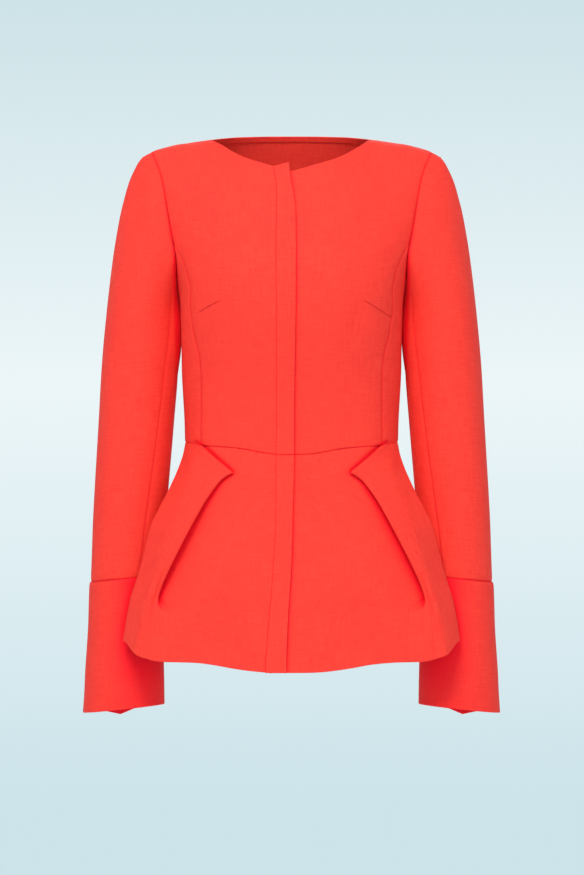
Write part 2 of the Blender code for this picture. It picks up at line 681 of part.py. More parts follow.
def cloth(collection, name, points, flip, half=0):
    """A grid bent to the points, drawn in by the wall of the cloth to a closed body."""
    rows, columns = points.shape[:2]
    inward = np.cross(direction(points, 0), direction(points, 1))
    inward /= np.linalg.norm(inward, axis=-1, keepdims=True)
    inner = points + inward * (-CLOTH if flip else CLOTH)
    if half:
        inner[..., 1] = half * np.maximum(half * inner[..., 1], SEAM / 2)
    shape = bmesh.new()
    spot = shape.verts.layers.int.new("spot")
    bmesh.ops.create_grid(shape, x_segments=columns - 1, y_segments=rows - 1, size=1)
    for corner in shape.verts:
        i = round((corner.co.x + 1) / 2 * (columns - 1))
        j = round((corner.co.y + 1) / 2 * (rows - 1))
        corner[spot] = j * columns + i
        corner.co = points[j, i]
    drawn = bmesh.ops.extrude_face_region(shape, geom=list(shape.faces), use_keep_orig=True)
    for corner in drawn["geom"]:
        if isinstance(corner, bmesh.types.BMVert):
            corner.co = inner[divmod(corner[spot], columns)]
    bmesh.ops.recalc_face_normals(shape, faces=shape.faces)
    mesh = bpy.data.meshes.new(name)
    shape.to_mesh(mesh)
    shape.free()
    piece = bpy.data.objects.new(name, mesh)
    collection.objects.link(piece)
    finish = bpy.data.materials.new(name + "_crepe")
    finish.use_nodes = True
    shader = finish.node_tree.nodes["Principled BSDF"]
    shader.inputs["Base Color"].default_value = COLOUR
    shader.inputs["Roughness"].default_value = 0.85
    mesh.materials.append(finish)
    return piece


def mirrored(points):
    return points * (-1, 1, 1)


def right_inner(height):
    """Inner edge of the right pieces, as if on the left."""
    return -read(STRIP, "seam", height) + SEAM / 2


def left_inner(height):
    return read(STRIP, "edge", height) - UNDERLAP


def upper_front_depth(across, height):
    return front_point(across, height)[..., 1]


def build():
    for old in list(bpy.data.objects):
        bpy.data.objects.remove(old, do_unlink=True)
    jacket = bpy.data.collections.new(NAME)
    bpy.context.scene.collection.children.link(jacket)

    cloth(jacket, "front_right", mirrored(front_panel(right_inner)), True, -1)
    left = front_panel(left_inner)
    cloth(jacket, "front_left", under_strip(left, read(STRIP, "edge", left[..., 2])), False, -1)

    waist = float(read(WAIST_FRONT, "height", 0))
    hem = float(read(HEM_FRONT, "height", 0))
    up = rising(outer_edge(FRONT_ROWS, PRINCESS, ARMHOLE_FRONT, WAIST_FRONT))
    upper = strip_points(waist + SEAM / 2, STRIP_TOP_SEAM, STRIP_TOP_EDGE, upper_front_depth, up)
    cloth(jacket, "front_strip_upper", upper, False)
    up = 1 - PEPLUM_ROWS[::-1]
    lower = strip_points(hem, waist - SEAM / 2, waist - SEAM / 2, lower_front_depth, up)
    cloth(jacket, "front_strip_lower", lower, False)

    side = side_panel()
    cloth(jacket, "side_right", mirrored(side), True)
    cloth(jacket, "side_left", side, False)
    cloth(jacket, "back", back_panel(), True, 1)

    cloth(jacket, "peplum_front_right", mirrored(peplum_front(right_inner)), True)
    left = peplum_front(left_inner)
    near = left.copy()
    plain = left[:, :PLAIN_COLUMNS]
    near[:, :PLAIN_COLUMNS] = under_strip(plain, read(STRIP, "edge", plain[..., 2]))
    cloth(jacket, "peplum_front_left", near, False)
    cloth(jacket, "peplum_back", peplum_back(), True)

    arm = {"upper_sleeve": upper_sleeve(), "under_sleeve": under_sleeve(), "cuff": cuff_panel()}
    for name, points in arm.items():
        cloth(jacket, name + "_right", mirrored(points), False)
        cloth(jacket, name + "_left", points, True)


build()
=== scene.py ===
import math

import bmesh
import bpy
import numpy as np
from mathutils import Matrix, Vector


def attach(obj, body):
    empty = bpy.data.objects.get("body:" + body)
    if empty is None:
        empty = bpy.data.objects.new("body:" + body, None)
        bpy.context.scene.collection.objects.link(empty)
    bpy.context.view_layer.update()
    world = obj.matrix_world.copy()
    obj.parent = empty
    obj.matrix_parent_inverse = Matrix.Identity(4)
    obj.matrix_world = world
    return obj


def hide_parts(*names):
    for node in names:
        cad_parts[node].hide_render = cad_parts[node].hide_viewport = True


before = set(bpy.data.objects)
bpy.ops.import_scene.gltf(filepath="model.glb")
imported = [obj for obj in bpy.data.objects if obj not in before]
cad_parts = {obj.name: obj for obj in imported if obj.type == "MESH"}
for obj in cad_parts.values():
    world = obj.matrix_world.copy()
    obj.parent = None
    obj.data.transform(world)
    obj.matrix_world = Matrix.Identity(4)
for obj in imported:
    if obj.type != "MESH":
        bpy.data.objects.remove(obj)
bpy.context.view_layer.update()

print("solids loaded:", len(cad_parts))

# Metres throughout: x to the wearer's left, minus y to the front, z up from the shoulders
cloth = {
    "wall": 0.0012,
    "gap": 0.0003,  # between two panels at a seam
    "fineness": 0.0028,  # size of a face away from the edges
    "edgeSteps": (0, 0.0006, 0.0014, 0.0026, 0.0044, 0.0070),  # rows beside an edge
    "seamDipWidth": 0.0030,  # reach of the soft valley along a seam
    "lapDepth": 0.0016,  # an allowance lies this deep under the next panel
    "lapFall": 0.0012,
    "lapSteps": np.array([1, 0.6, 0.3, 0.16, 0.08]),  # rows of an allowance, as shares of it
    "rollSteps": np.array([1, 0.55, 0.22]),  # rows of a turned hem
    "rollTurns": np.radians((180, 140, 100, 65, 30)),
    "sideRoll": 1.2,  # upright edges roll wider
    "tipFrom": 0.55,  # below this cosine a corner begins to keep its point
    "tipRange": 0.30,
    "farFromSeams": 0.05,
    "creaseSpread": (0.75, 0.50),  # width at a crease's start and what it gains
    "creaseSwell": (0.12, 0.76),  # the part of a half wave that its depth follows
}
halfGap = cloth["gap"] / 2


def tableOf(names, *lines):
    return dict(zip(names.split(), np.array(sorted(lines), float).T))


def cubic(t, start, end, leaving, arriving):
    first = (1 + 2 * t) * (1 - t) ** 2 * start + t * (1 - t) ** 2 * leaving
    return first + t * t * (3 - 2 * t) * end + t * t * (t - 1) * arriving


def bell(far):
    return np.exp(-(far ** 2))


def valueAt(columns, name, at):  # a cubic through a column that doesn't overshoot
    along = next(iter(columns.values()))
    value = columns[name]
    span = np.diff(along)
    slope = np.diff(value) / span
    tangent = np.concatenate([slope[:1], (slope[1:] + slope[:-1]) / 2, slope[-1:]])
    tangent[1:-1][slope[1:] * slope[:-1] <= 0] = 0
    limit = 3 * np.minimum(np.abs(np.append(slope, slope[-1])), np.abs(np.append(slope[0], slope)))
    tangent = np.clip(tangent, -limit, limit)
    at = np.clip(np.asarray(at, float), along[0], along[-1])
    k = np.clip(np.searchsorted(along, at) - 1, 0, len(span) - 1)
    t = (at - along[k]) / span[k]
    return cubic(t, value[k], value[k + 1], span[k] * tangent[k], span[k] * tangent[k + 1])


def lineAt(columns, at):  # of a table with one column beside the first
    return valueAt(columns, list(columns)[1], at)


def rowAt(columns, at):
    return [float(valueAt(columns, name, at)) for name in list(columns)[1:]]


def ease(t):
    t = np.clip(t, 0, 1)
    return t * t * (3 - 2 * t)


def unit(v):
    return v / np.maximum(np.linalg.norm(v, axis=-1, keepdims=True), 1e-12)


# Bodice: level sections, neckline, shoulder, waist and the seams between its panels
bodice = {
    "power": 2.4,
    "chest": -0.150,  # front and back close toward the shoulder line above this
    "shoulderRound": 2.2,
    "climb": 1.7,
    "neckSide": 0.1070,
    "bustSide": 0.078,
    "bustLevel": -0.205,
    "bustReach": 0.062,
    "bustRise": 0.011,
    "underarm": -0.192,
    "waistLevel": -0.386,
    "seamRows": 9,
    "panelRows": 15,
    "frontColumns": 12,
    "backColumns": 9,
    "sideColumns": 11,
    "torso": tableOf(
        "height halfWidth front back",
        (0.06, 0.19, 0.066, 0.084), (0, 0.19, 0.074, 0.09), (-0.05, 0.188, 0.085, 0.097),
        (-0.1, 0.178, 0.099, 0.104), (-0.15, 0.159, 0.112, 0.107), (-0.192, 0.1442, 0.118, 0.105),
        (-0.25, 0.1405, 0.115, 0.097), (-0.3, 0.1395, 0.104, 0.088), (-0.35, 0.1368, 0.0945, 0.079),
        (-0.38, 0.1358, 0.092, 0.076), (-0.41, 0.1358, 0.092, 0.076),
    ),
    "shoulder": tableOf(
        "across height",
        (0, 0.06), (0.05, 0.044), (0.09, 0.013), (0.107, 0.0005), (0.14, -0.004), (0.1575, -0.008),
        (0.173, -0.012), (0.19, -0.018),
    ),
    "neckFront": tableOf(
        "across height",
        (-0.03, -0.052), (0, -0.0475), (0.006, -0.0455), (0.018, -0.0416), (0.032, -0.0377),
        (0.0458, -0.0333), (0.058, -0.0289), (0.0745, -0.02), (0.0875, -0.0108), (0.0955, -0.0058),
        (0.107, 0.0005),
    ),
    "neckBack": tableOf(
        "across height", (0.0, 0.012), (0.040, 0.0112), (0.075, 0.0085), (0.095, 0.0045), (0.107, 0.0005)
    ),
    "waistFront": tableOf(
        "across height",
        (0, -0.4016), (0.02, -0.4012), (0.064, -0.394), (0.113, -0.3895), (0.1358, -0.3847),
    ),
    "waistBack": tableOf("across height", (0.0, -0.380), (0.080, -0.3815), (0.1358, -0.3847)),
    "armholeFront": tableOf(
        "height across",
        (-0.0141, 0.179), (-0.042, 0.1675), (-0.062, 0.1622), (-0.086, 0.158), (-0.114, 0.1532),
        (-0.133, 0.1497),
    ),
    "armholeBack": tableOf(
        "height across",
        (-0.0141, 0.179), (-0.045, 0.1715), (-0.08, 0.1655), (-0.11, 0.159), (-0.13, 0.152),
    ),
    "princess": tableOf(
        "height across",
        (-0.133, 0.1497), (-0.15, 0.1405), (-0.166, 0.1335), (-0.18, 0.1288), (-0.205, 0.1272),
        (-0.231, 0.1268), (-0.252, 0.122), (-0.273, 0.1168), (-0.3076, 0.1136), (-0.358, 0.1137),
        (-0.4, 0.1144),
    ),
    "backSeam": tableOf(
        "height across",
        (-0.13, 0.152), (-0.16, 0.127), (-0.22, 0.105), (-0.3, 0.089), (-0.4, 0.08),
    ),
}

# Front strip: its seam, its free edge and how far the edge stands off
strip = {
    "underlap": 0.0235,
    "drop": cloth["wall"] + 0.0008,
    "fadeFrom": 0.003,
    "fade": 0.055,
    "topSeam": -0.0402,
    "topEdge": -0.0357,
    "lines": tableOf(
        "height seam edge lift",
        (-0.03, -0.0248, -0.0046, 0.003), (-0.05, -0.0215, -0.0026, 0.0022),
        (-0.075, -0.0187, 0.0022, 0.0008), (-0.094, -0.0184, 0.0044, 0.0002),
        (-0.12, -0.0192, 0.0049, 0.0012), (-0.16, -0.0195, 0.0049, 0.0018),
        (-0.21, -0.0187, 0.0047, 0.0016), (-0.36, -0.0187, 0.0026, 0.002),
        (-0.4, -0.0195, 0.0026, 0.0014), (-0.47, -0.0195, 0.001, 0.0019),
        (-0.54, -0.0226, -0.0009, 0.0023), (-0.59, -0.0265, -0.0042, 0.002),
        (-0.64, -0.0307, -0.0065, 0.0026), (-0.68, -0.0332, -0.0074, 0.0022),
    ),
}


def torsoDepth(across, height, side):
    share = np.clip(np.abs(across) / valueAt(bodice["torso"], "halfWidth", height), 0, 1)
    top = lineAt(bodice["shoulder"], np.abs(across))
    rise = np.clip((height - bodice["chest"]) / (top - bodice["chest"]), 0, 1)
    closing = (1 - rise ** bodice["shoulderRound"]) ** (1 / bodice["shoulderRound"])
    power = bodice["power"]
    return valueAt(bodice["torso"], side, height) * (1 - share ** power) ** (1 / power) * closing


def frontPoint(across, height):
    aside = (np.abs(across) - bodice["bustSide"]) / bodice["bustReach"]
    above = (height - bodice["bustLevel"]) / bodice["bustReach"]
    depth = torsoDepth(across, height, "front") + bodice["bustRise"] * np.exp(-aside ** 2 - above ** 2)
    return np.stack([across, -depth, height], -1)


def backPoint(across, height):
    return np.stack([across, torsoDepth(across, height, "back"), height], -1)


def climbing(edge):
    return (edge[:, 1] - edge[0, 1]) / (edge[-1, 1] - edge[0, 1])


def fillBetween(left, right, bottom, top):
    u = np.linspace(0, 1, len(bottom))[None, :, None]
    v = climbing(right)[:, None, None]
    sides = (1 - u) * left[:, None] + u * right[:, None]
    ends = (1 - v) * bottom[None] + v * top[None]
    corners = (1 - v) * ((1 - u) * bottom[0] + u * bottom[-1]) + v * ((1 - u) * top[0] + u * top[-1])
    return sides + ends - corners


def outerEdge(seam, armhole, waist):  # up the seam, then up the armhole
    low = lineAt(waist, seam["across"][0]) + halfGap
    junction, tip = armhole["height"][0], armhole["height"][-1]
    below = bodice["seamRows"]
    climb = 1 - (1 - np.linspace(0, 1, bodice["panelRows"] - below + 1)[1:]) ** bodice["climb"]
    up = np.concatenate([np.linspace(low, junction, below + 1), junction + (tip - junction) * climb])
    across = np.where(up <= junction, lineAt(seam, up), lineAt(armhole, up))
    return np.stack([across - halfGap, up], -1)


def topEdge(inner, outer, columns, neck):  # neckline, then the shoulder line
    split = columns * 2 // 3
    neckSide = bodice["neckSide"]
    across = np.concatenate([
        np.linspace(inner, neckSide, split + 1),
        np.linspace(neckSide, outer, columns - split + 1)[1:],
    ])
    onShoulder = lineAt(bodice["shoulder"], across)
    return np.stack([across, np.where(across < neckSide, lineAt(neck, across), onShoulder)], -1)


def panelBetween(innerAt, *lines):
    seam, armhole, waist, neck, columns = (bodice[line] for line in lines)
    right = outerEdge(seam, armhole, waist)
    top = topEdge(float(innerAt(neck["height"][1])), right[-1, 0], columns, neck)
    right[-1] = top[-1]
    low = lineAt(waist, 0.0) + halfGap
    up = low + (top[0, 1] - low) * climbing(right)
    left = np.stack([innerAt(up), up], -1)
    top[0] = left[-1]
    out = np.linspace(left[0, 0], right[0, 0], columns + 1)
    bottom = np.stack([out, lineAt(waist, np.abs(out)) + halfGap], -1)
    left[0], right[0] = bottom[0], bottom[-1]
    return fillBetween(left, right, bottom, top)


def rightInner(height):
    return -valueAt(strip["lines"], "seam", height) + halfGap


def leftInner(height):
    return valueAt(strip["lines"], "edge", height) - strip["underlap"]


def frontGrid(innerAt):
    flat = panelBetween(innerAt, "princess", "armholeFront", "waistFront", "neckFront", "frontColumns")
    points = frontPoint(flat[..., 0], flat[..., 1])
    points[..., 1] = np.minimum(points[..., 1], -halfGap)
    return points


def backGrid():
    half = panelBetween(np.zeros_like, "backSeam", "armholeBack", "waistBack", "neckBack", "backColumns")
    whole = np.concatenate([half[:, :0:-1] * (-1, 1), half], 1)
    points = backPoint(whole[..., 0], whole[..., 1])
    points[..., 1] = np.maximum(points[..., 1], halfGap)
    return points


def sectionAngle(across, height):
    share = np.clip(across / valueAt(bodice["torso"], "halfWidth", height), 0, 1)
    return np.arccos(share ** (bodice["power"] / 2))


def sidePoint(angle, height):  # minus to the front, plus to the back
    across = valueAt(bodice["torso"], "halfWidth", height) * np.cos(angle) ** (2 / bodice["power"])
    depth = np.where(angle < 0, frontPoint(across, height)[..., 1], backPoint(across, height)[..., 1])
    return np.stack([across, depth, height], -1)


def sideTop(share):
    junction = (1 - share) * bodice["princess"]["height"][-1] + share * bodice["backSeam"]["height"][-1]
    return bodice["underarm"] + (junction - bodice["underarm"]) * np.abs(2 * share - 1) ** 2


def sideGrid(columns, rows, gap):
    share = np.linspace(0, 1, columns + 1)[None, :]
    up = np.linspace(0, 1, rows + 1)[:, None]
    level = bodice["waistLevel"]
    start = -sectionAngle(lineAt(bodice["princess"], level), level)
    end = sectionAngle(lineAt(bodice["backSeam"], level), level)
    turn = start + (end - start) * share
    across = valueAt(bodice["torso"], "halfWidth", level) * np.cos(turn) ** (2 / bodice["power"])
    inFront = lineAt(bodice["waistFront"], across)
    waist = np.where(turn < 0, inFront, lineAt(bodice["waistBack"], across))
    level = (waist + gap) * (1 - up) + (sideTop(share) - gap) * up
    front = -sectionAngle(lineAt(bodice["princess"], level) + gap, level)
    back = sectionAngle(lineAt(bodice["backSeam"], level) + gap, level)
    return sidePoint(front + (back - front) * share, level)


def stripGrid(low, highSeam, highEdge, depthAt, up, columns=3):
    share = np.linspace(0, 1, columns + 1)[None, :]
    up = up[:, None]
    height = low * (1 - up) + (highSeam + (highEdge - highSeam) * share) * up
    across = valueAt(strip["lines"], "seam", height) + halfGap
    across = across + (valueAt(strip["lines"], "edge", height) - across) * share
    depth = depthAt(across, height) - valueAt(strip["lines"], "lift", height) * share ** 2
    return np.stack([across, depth, height], -1)


def upperFrontDepth(across, height):
    return frontPoint(across, height)[..., 1]


def lowerFrontDepth(across, height):
    waist = lineAt(bodice["waistFront"], np.abs(across))
    hem = lineAt(peplum["hemFront"], np.abs(across))
    return peplumDepth(across, (waist - height) / (waist - hem))


def underStrip(points):  # the left front lies lower where it runs under the strip
    edge = valueAt(strip["lines"], "edge", points[..., 2])
    beyond = np.clip((points[..., 0] - edge - strip["fadeFrom"]) / strip["fade"], 0, 1)
    lowered = points.copy()
    lowered[..., 1] += strip["drop"] * (1 - ease(beyond))
    return lowered


# Peplum, from the waist seam (0) to the hem (1), with a fold over each hip
peplum = {
    "front": tableOf(
        "down centre halfWidth power",
        (0, 0.092, 0.1358, 2.4), (0.127, 0.0985, 0.15, 2.35), (0.251, 0.103, 0.165, 2.3),
        (0.415, 0.11, 0.19, 2.2), (0.6, 0.118, 0.215, 2.1), (0.8, 0.127, 0.24, 2.05),
        (1, 0.135, 0.26, 2),
    ),
    "back": tableOf(
        "down halfWidth depth",
        (0, 0.1358, 0.076), (0.3, 0.1425, 0.1), (0.6, 0.149, 0.122), (1, 0.155, 0.143),
    ),
    "fold": tableOf(
        "down edge overlap lift sink round",
        (0, 0.111, 0.006, 0.0022, 0.0034, 0.0034), (0.03, 0.103, 0.01, 0.0024, 0.0034, 0.0034),
        (0.065, 0.0922, 0.015, 0.0026, 0.0034, 0.0034), (0.1, 0.0809, 0.02, 0.0028, 0.0034, 0.0034),
        (0.127, 0.0723, 0.024, 0.0032, 0.0034, 0.0036), (0.159, 0.0859, 0.025, 0.0044, 0.003, 0.0038),
        (0.205, 0.0965, 0.026, 0.0076, 0.0016, 0.004), (0.251, 0.105, 0.026, 0.0105, 0.0006, 0.0044),
        (0.415, 0.1295, 0.022, 0.0155, 0, 0.0052), (0.597, 0.1538, 0.014, 0.0145, 0, 0.005),
        (0.655, 0.1605, 0.01, 0.0115, 0, 0.0046), (0.707, 0.1649, 0.0065, 0.0082, 0, 0.0042),
        (0.782, 0.168, -0.004, 0.0034, 0, 0.0036), (1, 0.166, -0.02, 0, 0, 0.003),
    ),
    "hip": tableOf(
        "down ridgeX ridgeY outerX outerY tuckX tuckY",
        (0, 0.1235, -0.0525, 0.1335, -0.0285, 0.1355, -0.0104),
        (0.03, 0.1238, -0.058, 0.1348, -0.03, 0.1368, -0.0095),
        (0.127, 0.125, -0.0755, 0.143, -0.037, 0.14, -0.013),
        (0.251, 0.1345, -0.085, 0.157, -0.047, 0.146, -0.0235),
        (0.415, 0.149, -0.0985, 0.1775, -0.056, 0.151, -0.031),
        (0.597, 0.164, -0.1, 0.189, -0.0585, 0.1545, -0.034),
        (0.707, 0.1745, -0.099, 0.197, -0.06, 0.156, -0.035),
        (0.782, 0.1805, -0.0985, 0.203, -0.061, 0.1575, -0.036),
        (1, 0.193, -0.0995, 0.2124, -0.062, 0.16, -0.04),
    ),
    "hemFront": tableOf(
        "across height",
        (0, -0.6696), (0.0337, -0.6689), (0.073, -0.6643), (0.1003, -0.6598), (0.1243, -0.6578),
        (0.1577, -0.6578), (0.175, -0.656),
    ),
    "hemRidge": -0.6500,
    "hemOuter": -0.6340,
    "hemTuck": -0.6360,
    "hemSide": -0.6400,
    "hemBack": -0.6480,
    "hemLevelTo": 0.170,
    "waistSide": -0.3845,
    "creaseTop": -0.402,
    "creaseLength": 0.266,
    "sideAngle": math.radians(12),
    "foldIn": 0.0006,
    "foldOut": 0.0022,
    "unfolded": 0.024,
    "sinkReach": 0.010,
    "foldOpens": 0.006,
    "foldClear": 0.008,
    "foldMeets": 0.45,  # share of the way to the ridge at which an opened fold ends
    "slopeStep": 0.004,
    "steepest": 1.6,
    "ridgeRound": 0.012,
    "outerRound": 0.005,
    "roundMost": 0.45,
    "wingBulge": 0.0004,
    "waistBehind": 0.076,
    "hemPower": 3,
    "plainColumns": 7,
    "backColumns": 18,
    "backRows": 8,
    "rows": np.array([
        *(0.0, 0.030, 0.065, 0.100, 0.127, 0.159, 0.205, 0.251),  # the fold's tip
        *(0.33, 0.415, 0.505, 0.597, 0.655, 0.707, 0.782, 0.87, 1.0),
    ]),
}


def peplumDepth(across, down):
    power = valueAt(peplum["front"], "power", down)
    share = np.clip(np.abs(across) / valueAt(peplum["front"], "halfWidth", down), 0, 0.999)
    return -valueAt(peplum["front"], "centre", down) * (1 - share ** power) ** (1 / power)


def peplumSide(down, angle):
    power = 2 / bodice["power"]
    across = valueAt(peplum["back"], "halfWidth", down) * np.cos(angle) ** power
    return np.stack([across, valueAt(peplum["back"], "depth", down) * np.sin(angle) ** power], -1)


def between(start, end, count):
    t = np.linspace(0, 1, count + 2)[1:-1, None]
    return (1 - t) * np.asarray(start) + t * np.asarray(end)


def softTurn(before, corner, after, reach, count):
    corner, before, after = map(np.asarray, (corner, before, after))
    one, two = before - corner, after - corner
    start = corner + one * min(peplum["roundMost"], reach / np.linalg.norm(one))
    end = corner + two * min(peplum["roundMost"], reach / np.linalg.norm(two))
    t = np.linspace(0, 1, count)[:, None]
    return (1 - t) ** 2 * start + 2 * t * (1 - t) * corner + t * t * end


def slopeAngle(slope):
    return math.degrees(math.atan(min(max(slope, 0.0), peplum["steepest"])))


def foldTurn(wide, deep, start, end, count=5):
    turn = np.radians(np.linspace(start, end, count))
    return np.stack([wide * np.cos(turn), deep * np.sin(turn)], -1)


def peplumRow(down, inner):  # the panel, the hip fold over it, then round to the side seam
    edge, overlap, lift, sink, soft = rowAt(peplum["fold"], down)
    ridge, outer, tuck = np.reshape(rowAt(peplum["hip"], down), (3, 2))
    side = peplumSide(down, peplum["sideAngle"])
    foldIn, foldOut, reach = peplum["foldIn"], peplum["foldOut"], peplum["sinkReach"]
    step, meets = peplum["slopeStep"], peplum["foldMeets"]

    def below(across):
        return peplumDepth(across, down) + sink * ease((across - edge + reach) / reach)

    folded = float(ease(overlap / peplum["foldOpens"]))
    hidden = edge + max(overlap, 0)
    front = float(peplumDepth(edge, down)) - lift
    panelSlope = float(below(hidden) - below(hidden - step)) / step
    underRise = float(below(hidden)) - front - 2 * (foldIn + foldOut)
    underSlope = underRise / max(hidden - edge - soft, step)
    wingSlope = (ridge[1] - front) / (ridge[0] - edge)
    inside = foldTurn(foldIn, foldIn, 90 + slopeAngle(panelSlope), -90 + slopeAngle(underSlope))
    inside = inside - inside[0] + (hidden - foldIn, float(below(hidden - foldIn)))
    stretch = soft / foldOut
    angles = 90 + slopeAngle(underSlope * stretch), 270 + slopeAngle(wingSlope * stretch)
    outside = foldTurn(soft, foldOut, *angles) + (edge + soft, front + foldOut)
    under = between(inside[-1], outside[0], 2)
    space = np.linspace(2 * foldIn, lift + sink - 2 * foldOut, 4)[1:-1]
    under[:, 1] = np.minimum(under[:, 1], below(under[:, 0]) - space)
    crease = np.concatenate([inside, under, outside])
    flatX = np.linspace(edge - peplum["unfolded"], edge + meets * (ridge[0] - edge), len(crease))
    meet = (1 - meets) * front + meets * ridge[1]
    flatY = peplumDepth(flatX, down)
    flatY = flatY + (meet - flatY[-1]) * ease(np.linspace(0, 1, len(crease)))
    crease = (1 - folded) * np.stack([flatX, flatY], -1) + folded * crease
    stop = min(edge - reach, crease[0, 0] - peplum["foldClear"])
    plainX = np.append(np.linspace(inner, stop, peplum["plainColumns"] - 1), (stop + crease[0, 0]) / 2)
    plain = np.stack([plainX, below(plainX)], -1)
    top = softTurn(crease[-1], ridge, outer, peplum["ridgeRound"], 3)
    turned = softTurn(ridge, outer, tuck, peplum["outerRound"], 5)
    inward = softTurn(outer, tuck, side, peplum["ridgeRound"], 3)
    wing = between(crease[-1], top[0], 2)
    wing[:, 1] -= peplum["wingBulge"] * folded
    return np.concatenate([
        plain, crease, wing, top, between(top[-1], turned[0], 2), turned,
        between(turned[-1], inward[0], 1), inward, between(inward[-1], side, 1), side[None],
    ])


def peplumFrontGrid(innerAt):
    top = float(lineAt(bodice["waistFront"], 0))
    low = float(lineAt(peplum["hemFront"], 0))
    lines = np.array([peplumRow(down, float(innerAt(top + (low - top) * down))) for down in peplum["rows"]])
    first = lines[0]
    waist = lineAt(bodice["waistFront"], np.abs(first[:, 0]))
    waist = np.where(first[:, 1] < 0, waist, peplum["waistSide"])
    down = peplum["rows"][:, None]
    height = (1 - down) * (waist - cloth["gap"]) + down * hemHeights(lines[-1])
    return np.concatenate([lines, height[..., None]], -1)[::-1]


def hemHeights(line):
    run = np.concatenate([[0], np.cumsum(np.linalg.norm(np.diff(line, axis=0), axis=1))])
    turns = np.reshape(rowAt(peplum["hip"], 1), (3, 2))
    ridge, outer, tuck = (run[np.argmin(np.linalg.norm(line - turn, axis=1))] for turn in turns)
    inFront = line[:, 1] < turns[0, 1] / 2
    start = run[np.argmin(np.where(inFront, np.abs(line[:, 0] - peplum["hemLevelTo"]), 1))]
    beyond = tableOf(
        "run height",
        (start, float(lineAt(peplum["hemFront"], peplum["hemLevelTo"]))),
        (ridge, peplum["hemRidge"]),
        (outer, peplum["hemOuter"]),
        (tuck, peplum["hemTuck"]),
        (run[-1], peplum["hemSide"]),
    )
    level = lineAt(peplum["hemFront"], np.abs(line[:, 0]))
    return np.where(run <= start, level, lineAt(beyond, run))


def peplumBackGrid():
    start = peplum["sideAngle"] + cloth["gap"] / peplum["waistBehind"]
    angle = np.linspace(start, math.pi - start, peplum["backColumns"] + 1)
    down = np.linspace(0, 1, peplum["backRows"] + 1)[:, None]
    c = np.cos(angle)[None, :]
    power = 2 / bodice["power"]
    across = valueAt(peplum["back"], "halfWidth", down) * np.sign(c) * np.abs(c) ** power
    depth = valueAt(peplum["back"], "depth", down) * np.sin(angle)[None, :] ** power
    waist = lineAt(bodice["waistBack"], np.abs(across[:1])) - halfGap
    hem = peplum["hemBack"] + (peplum["hemSide"] - peplum["hemBack"]) * np.abs(c) ** peplum["hemPower"]
    return np.stack([across, depth, (1 - down) * waist + down * hem], -1)[::-1, ::-1]


# Sleeves and cuffs: level rings, and the turn round the arm at which each seam lies
sleeve = {
    "armLevel": -0.105,
    "bicep": -0.225,
    "armRound": 0.050,
    "capRows": 6,
    "armRows": 9,
    "capCloser": 1.25,
    "topCloser": 1.3,
    "topReach": 0.7,
    "capStart": 0.53,
    "capEnd": 0.85,
    "capOut": 0.30,
    "capFall": 0.20,
    "capSpread": 0.42,
    "capNarrow": 0.4,
    "upperColumns": 18,
    "underColumns": 8,
    "arm": tableOf(
        "height middleX middleY halfWidth halfDepth",
        (-0.204, 0.1903, 0.003, 0.044, 0.0575), (-0.25, 0.1922, 0.0045, 0.047, 0.056),
        (-0.296, 0.1951, 0.006, 0.0478, 0.0545), (-0.342, 0.1971, 0.006, 0.0483, 0.053),
        (-0.388, 0.2002, 0.0055, 0.0478, 0.0515), (-0.434, 0.2034, 0.004, 0.0472, 0.05),
        (-0.48, 0.2065, 0.002, 0.0465, 0.049), (-0.526, 0.2085, 0, 0.0459, 0.048),
        (-0.57, 0.21, -0.001, 0.0459, 0.0475),
    ),
    "seams": tableOf(
        "height front back",
        (-0.192, 150, 242), (-0.25, 141, 240), (-0.342, 131, 238), (-0.434, 124, 237),
        (-0.57, 112, 236),
    ),
}
cuff = {
    "split": math.radians(278),
    "top": (-0.5586, 0.0047, 0.0012),  # level, fall to the outside, rise to the front
    "hem": (-0.7236, 0.0054, 0.0023),
    "corner": 0.0090,  # the back corners hang lower
    "cornerReach": 0.35,
    "splitRound": 0.1,
    "columns": 20,
    "rows": 6,
    "rings": tableOf(
        "height middleX middleY halfWidth halfDepth",
        (-0.545, 0.21, -0.001, 0.0467, 0.0482), (-0.58, 0.2108, -0.0015, 0.0472, 0.0488),
        (-0.602, 0.2112, -0.002, 0.0473, 0.049), (-0.633, 0.2114, -0.002, 0.0482, 0.0497),
        (-0.663, 0.2123, -0.002, 0.0497, 0.0508), (-0.694, 0.2126, -0.002, 0.0507, 0.0517),
        (-0.74, 0.2138, -0.002, 0.0524, 0.053),
    ),
}


def armholeLoop(steps=48):
    front, back = bodice["armholeFront"], bodice["armholeBack"]
    down = np.linspace(front["height"][-1], front["height"][0], steps)
    up = np.linspace(back["height"][0], back["height"][-1], steps)
    return np.concatenate([
        frontPoint(lineAt(front, down), down),
        sideGrid(steps, 1, 0.0)[-1][1:-1],
        backPoint(lineAt(back, up), up)[:-1],
    ])


armhole = armholeLoop()


def armholePoint(turn):
    around = np.arctan2(-armhole[:, 1], armhole[:, 2] - sleeve["armLevel"]) % (2 * math.pi)
    order = np.argsort(around)
    around, loop = around[order], armhole[order]
    around = np.concatenate([around[-2:] - 2 * math.pi, around, around[:2] + 2 * math.pi])
    loop = np.concatenate([loop[-2:], loop, loop[:2]])
    return np.stack([np.interp(turn % (2 * math.pi), around, loop[:, k]) for k in range(3)], -1)


def ringPoint(rings, turn, height):  # 0 at the outside of the arm, a quarter turn at the front
    across = valueAt(rings, "middleX", height) + valueAt(rings, "halfWidth", height) * np.cos(turn)
    depth = valueAt(rings, "middleY", height) - valueAt(rings, "halfDepth", height) * np.sin(turn)
    return np.stack([across, depth, height], -1)


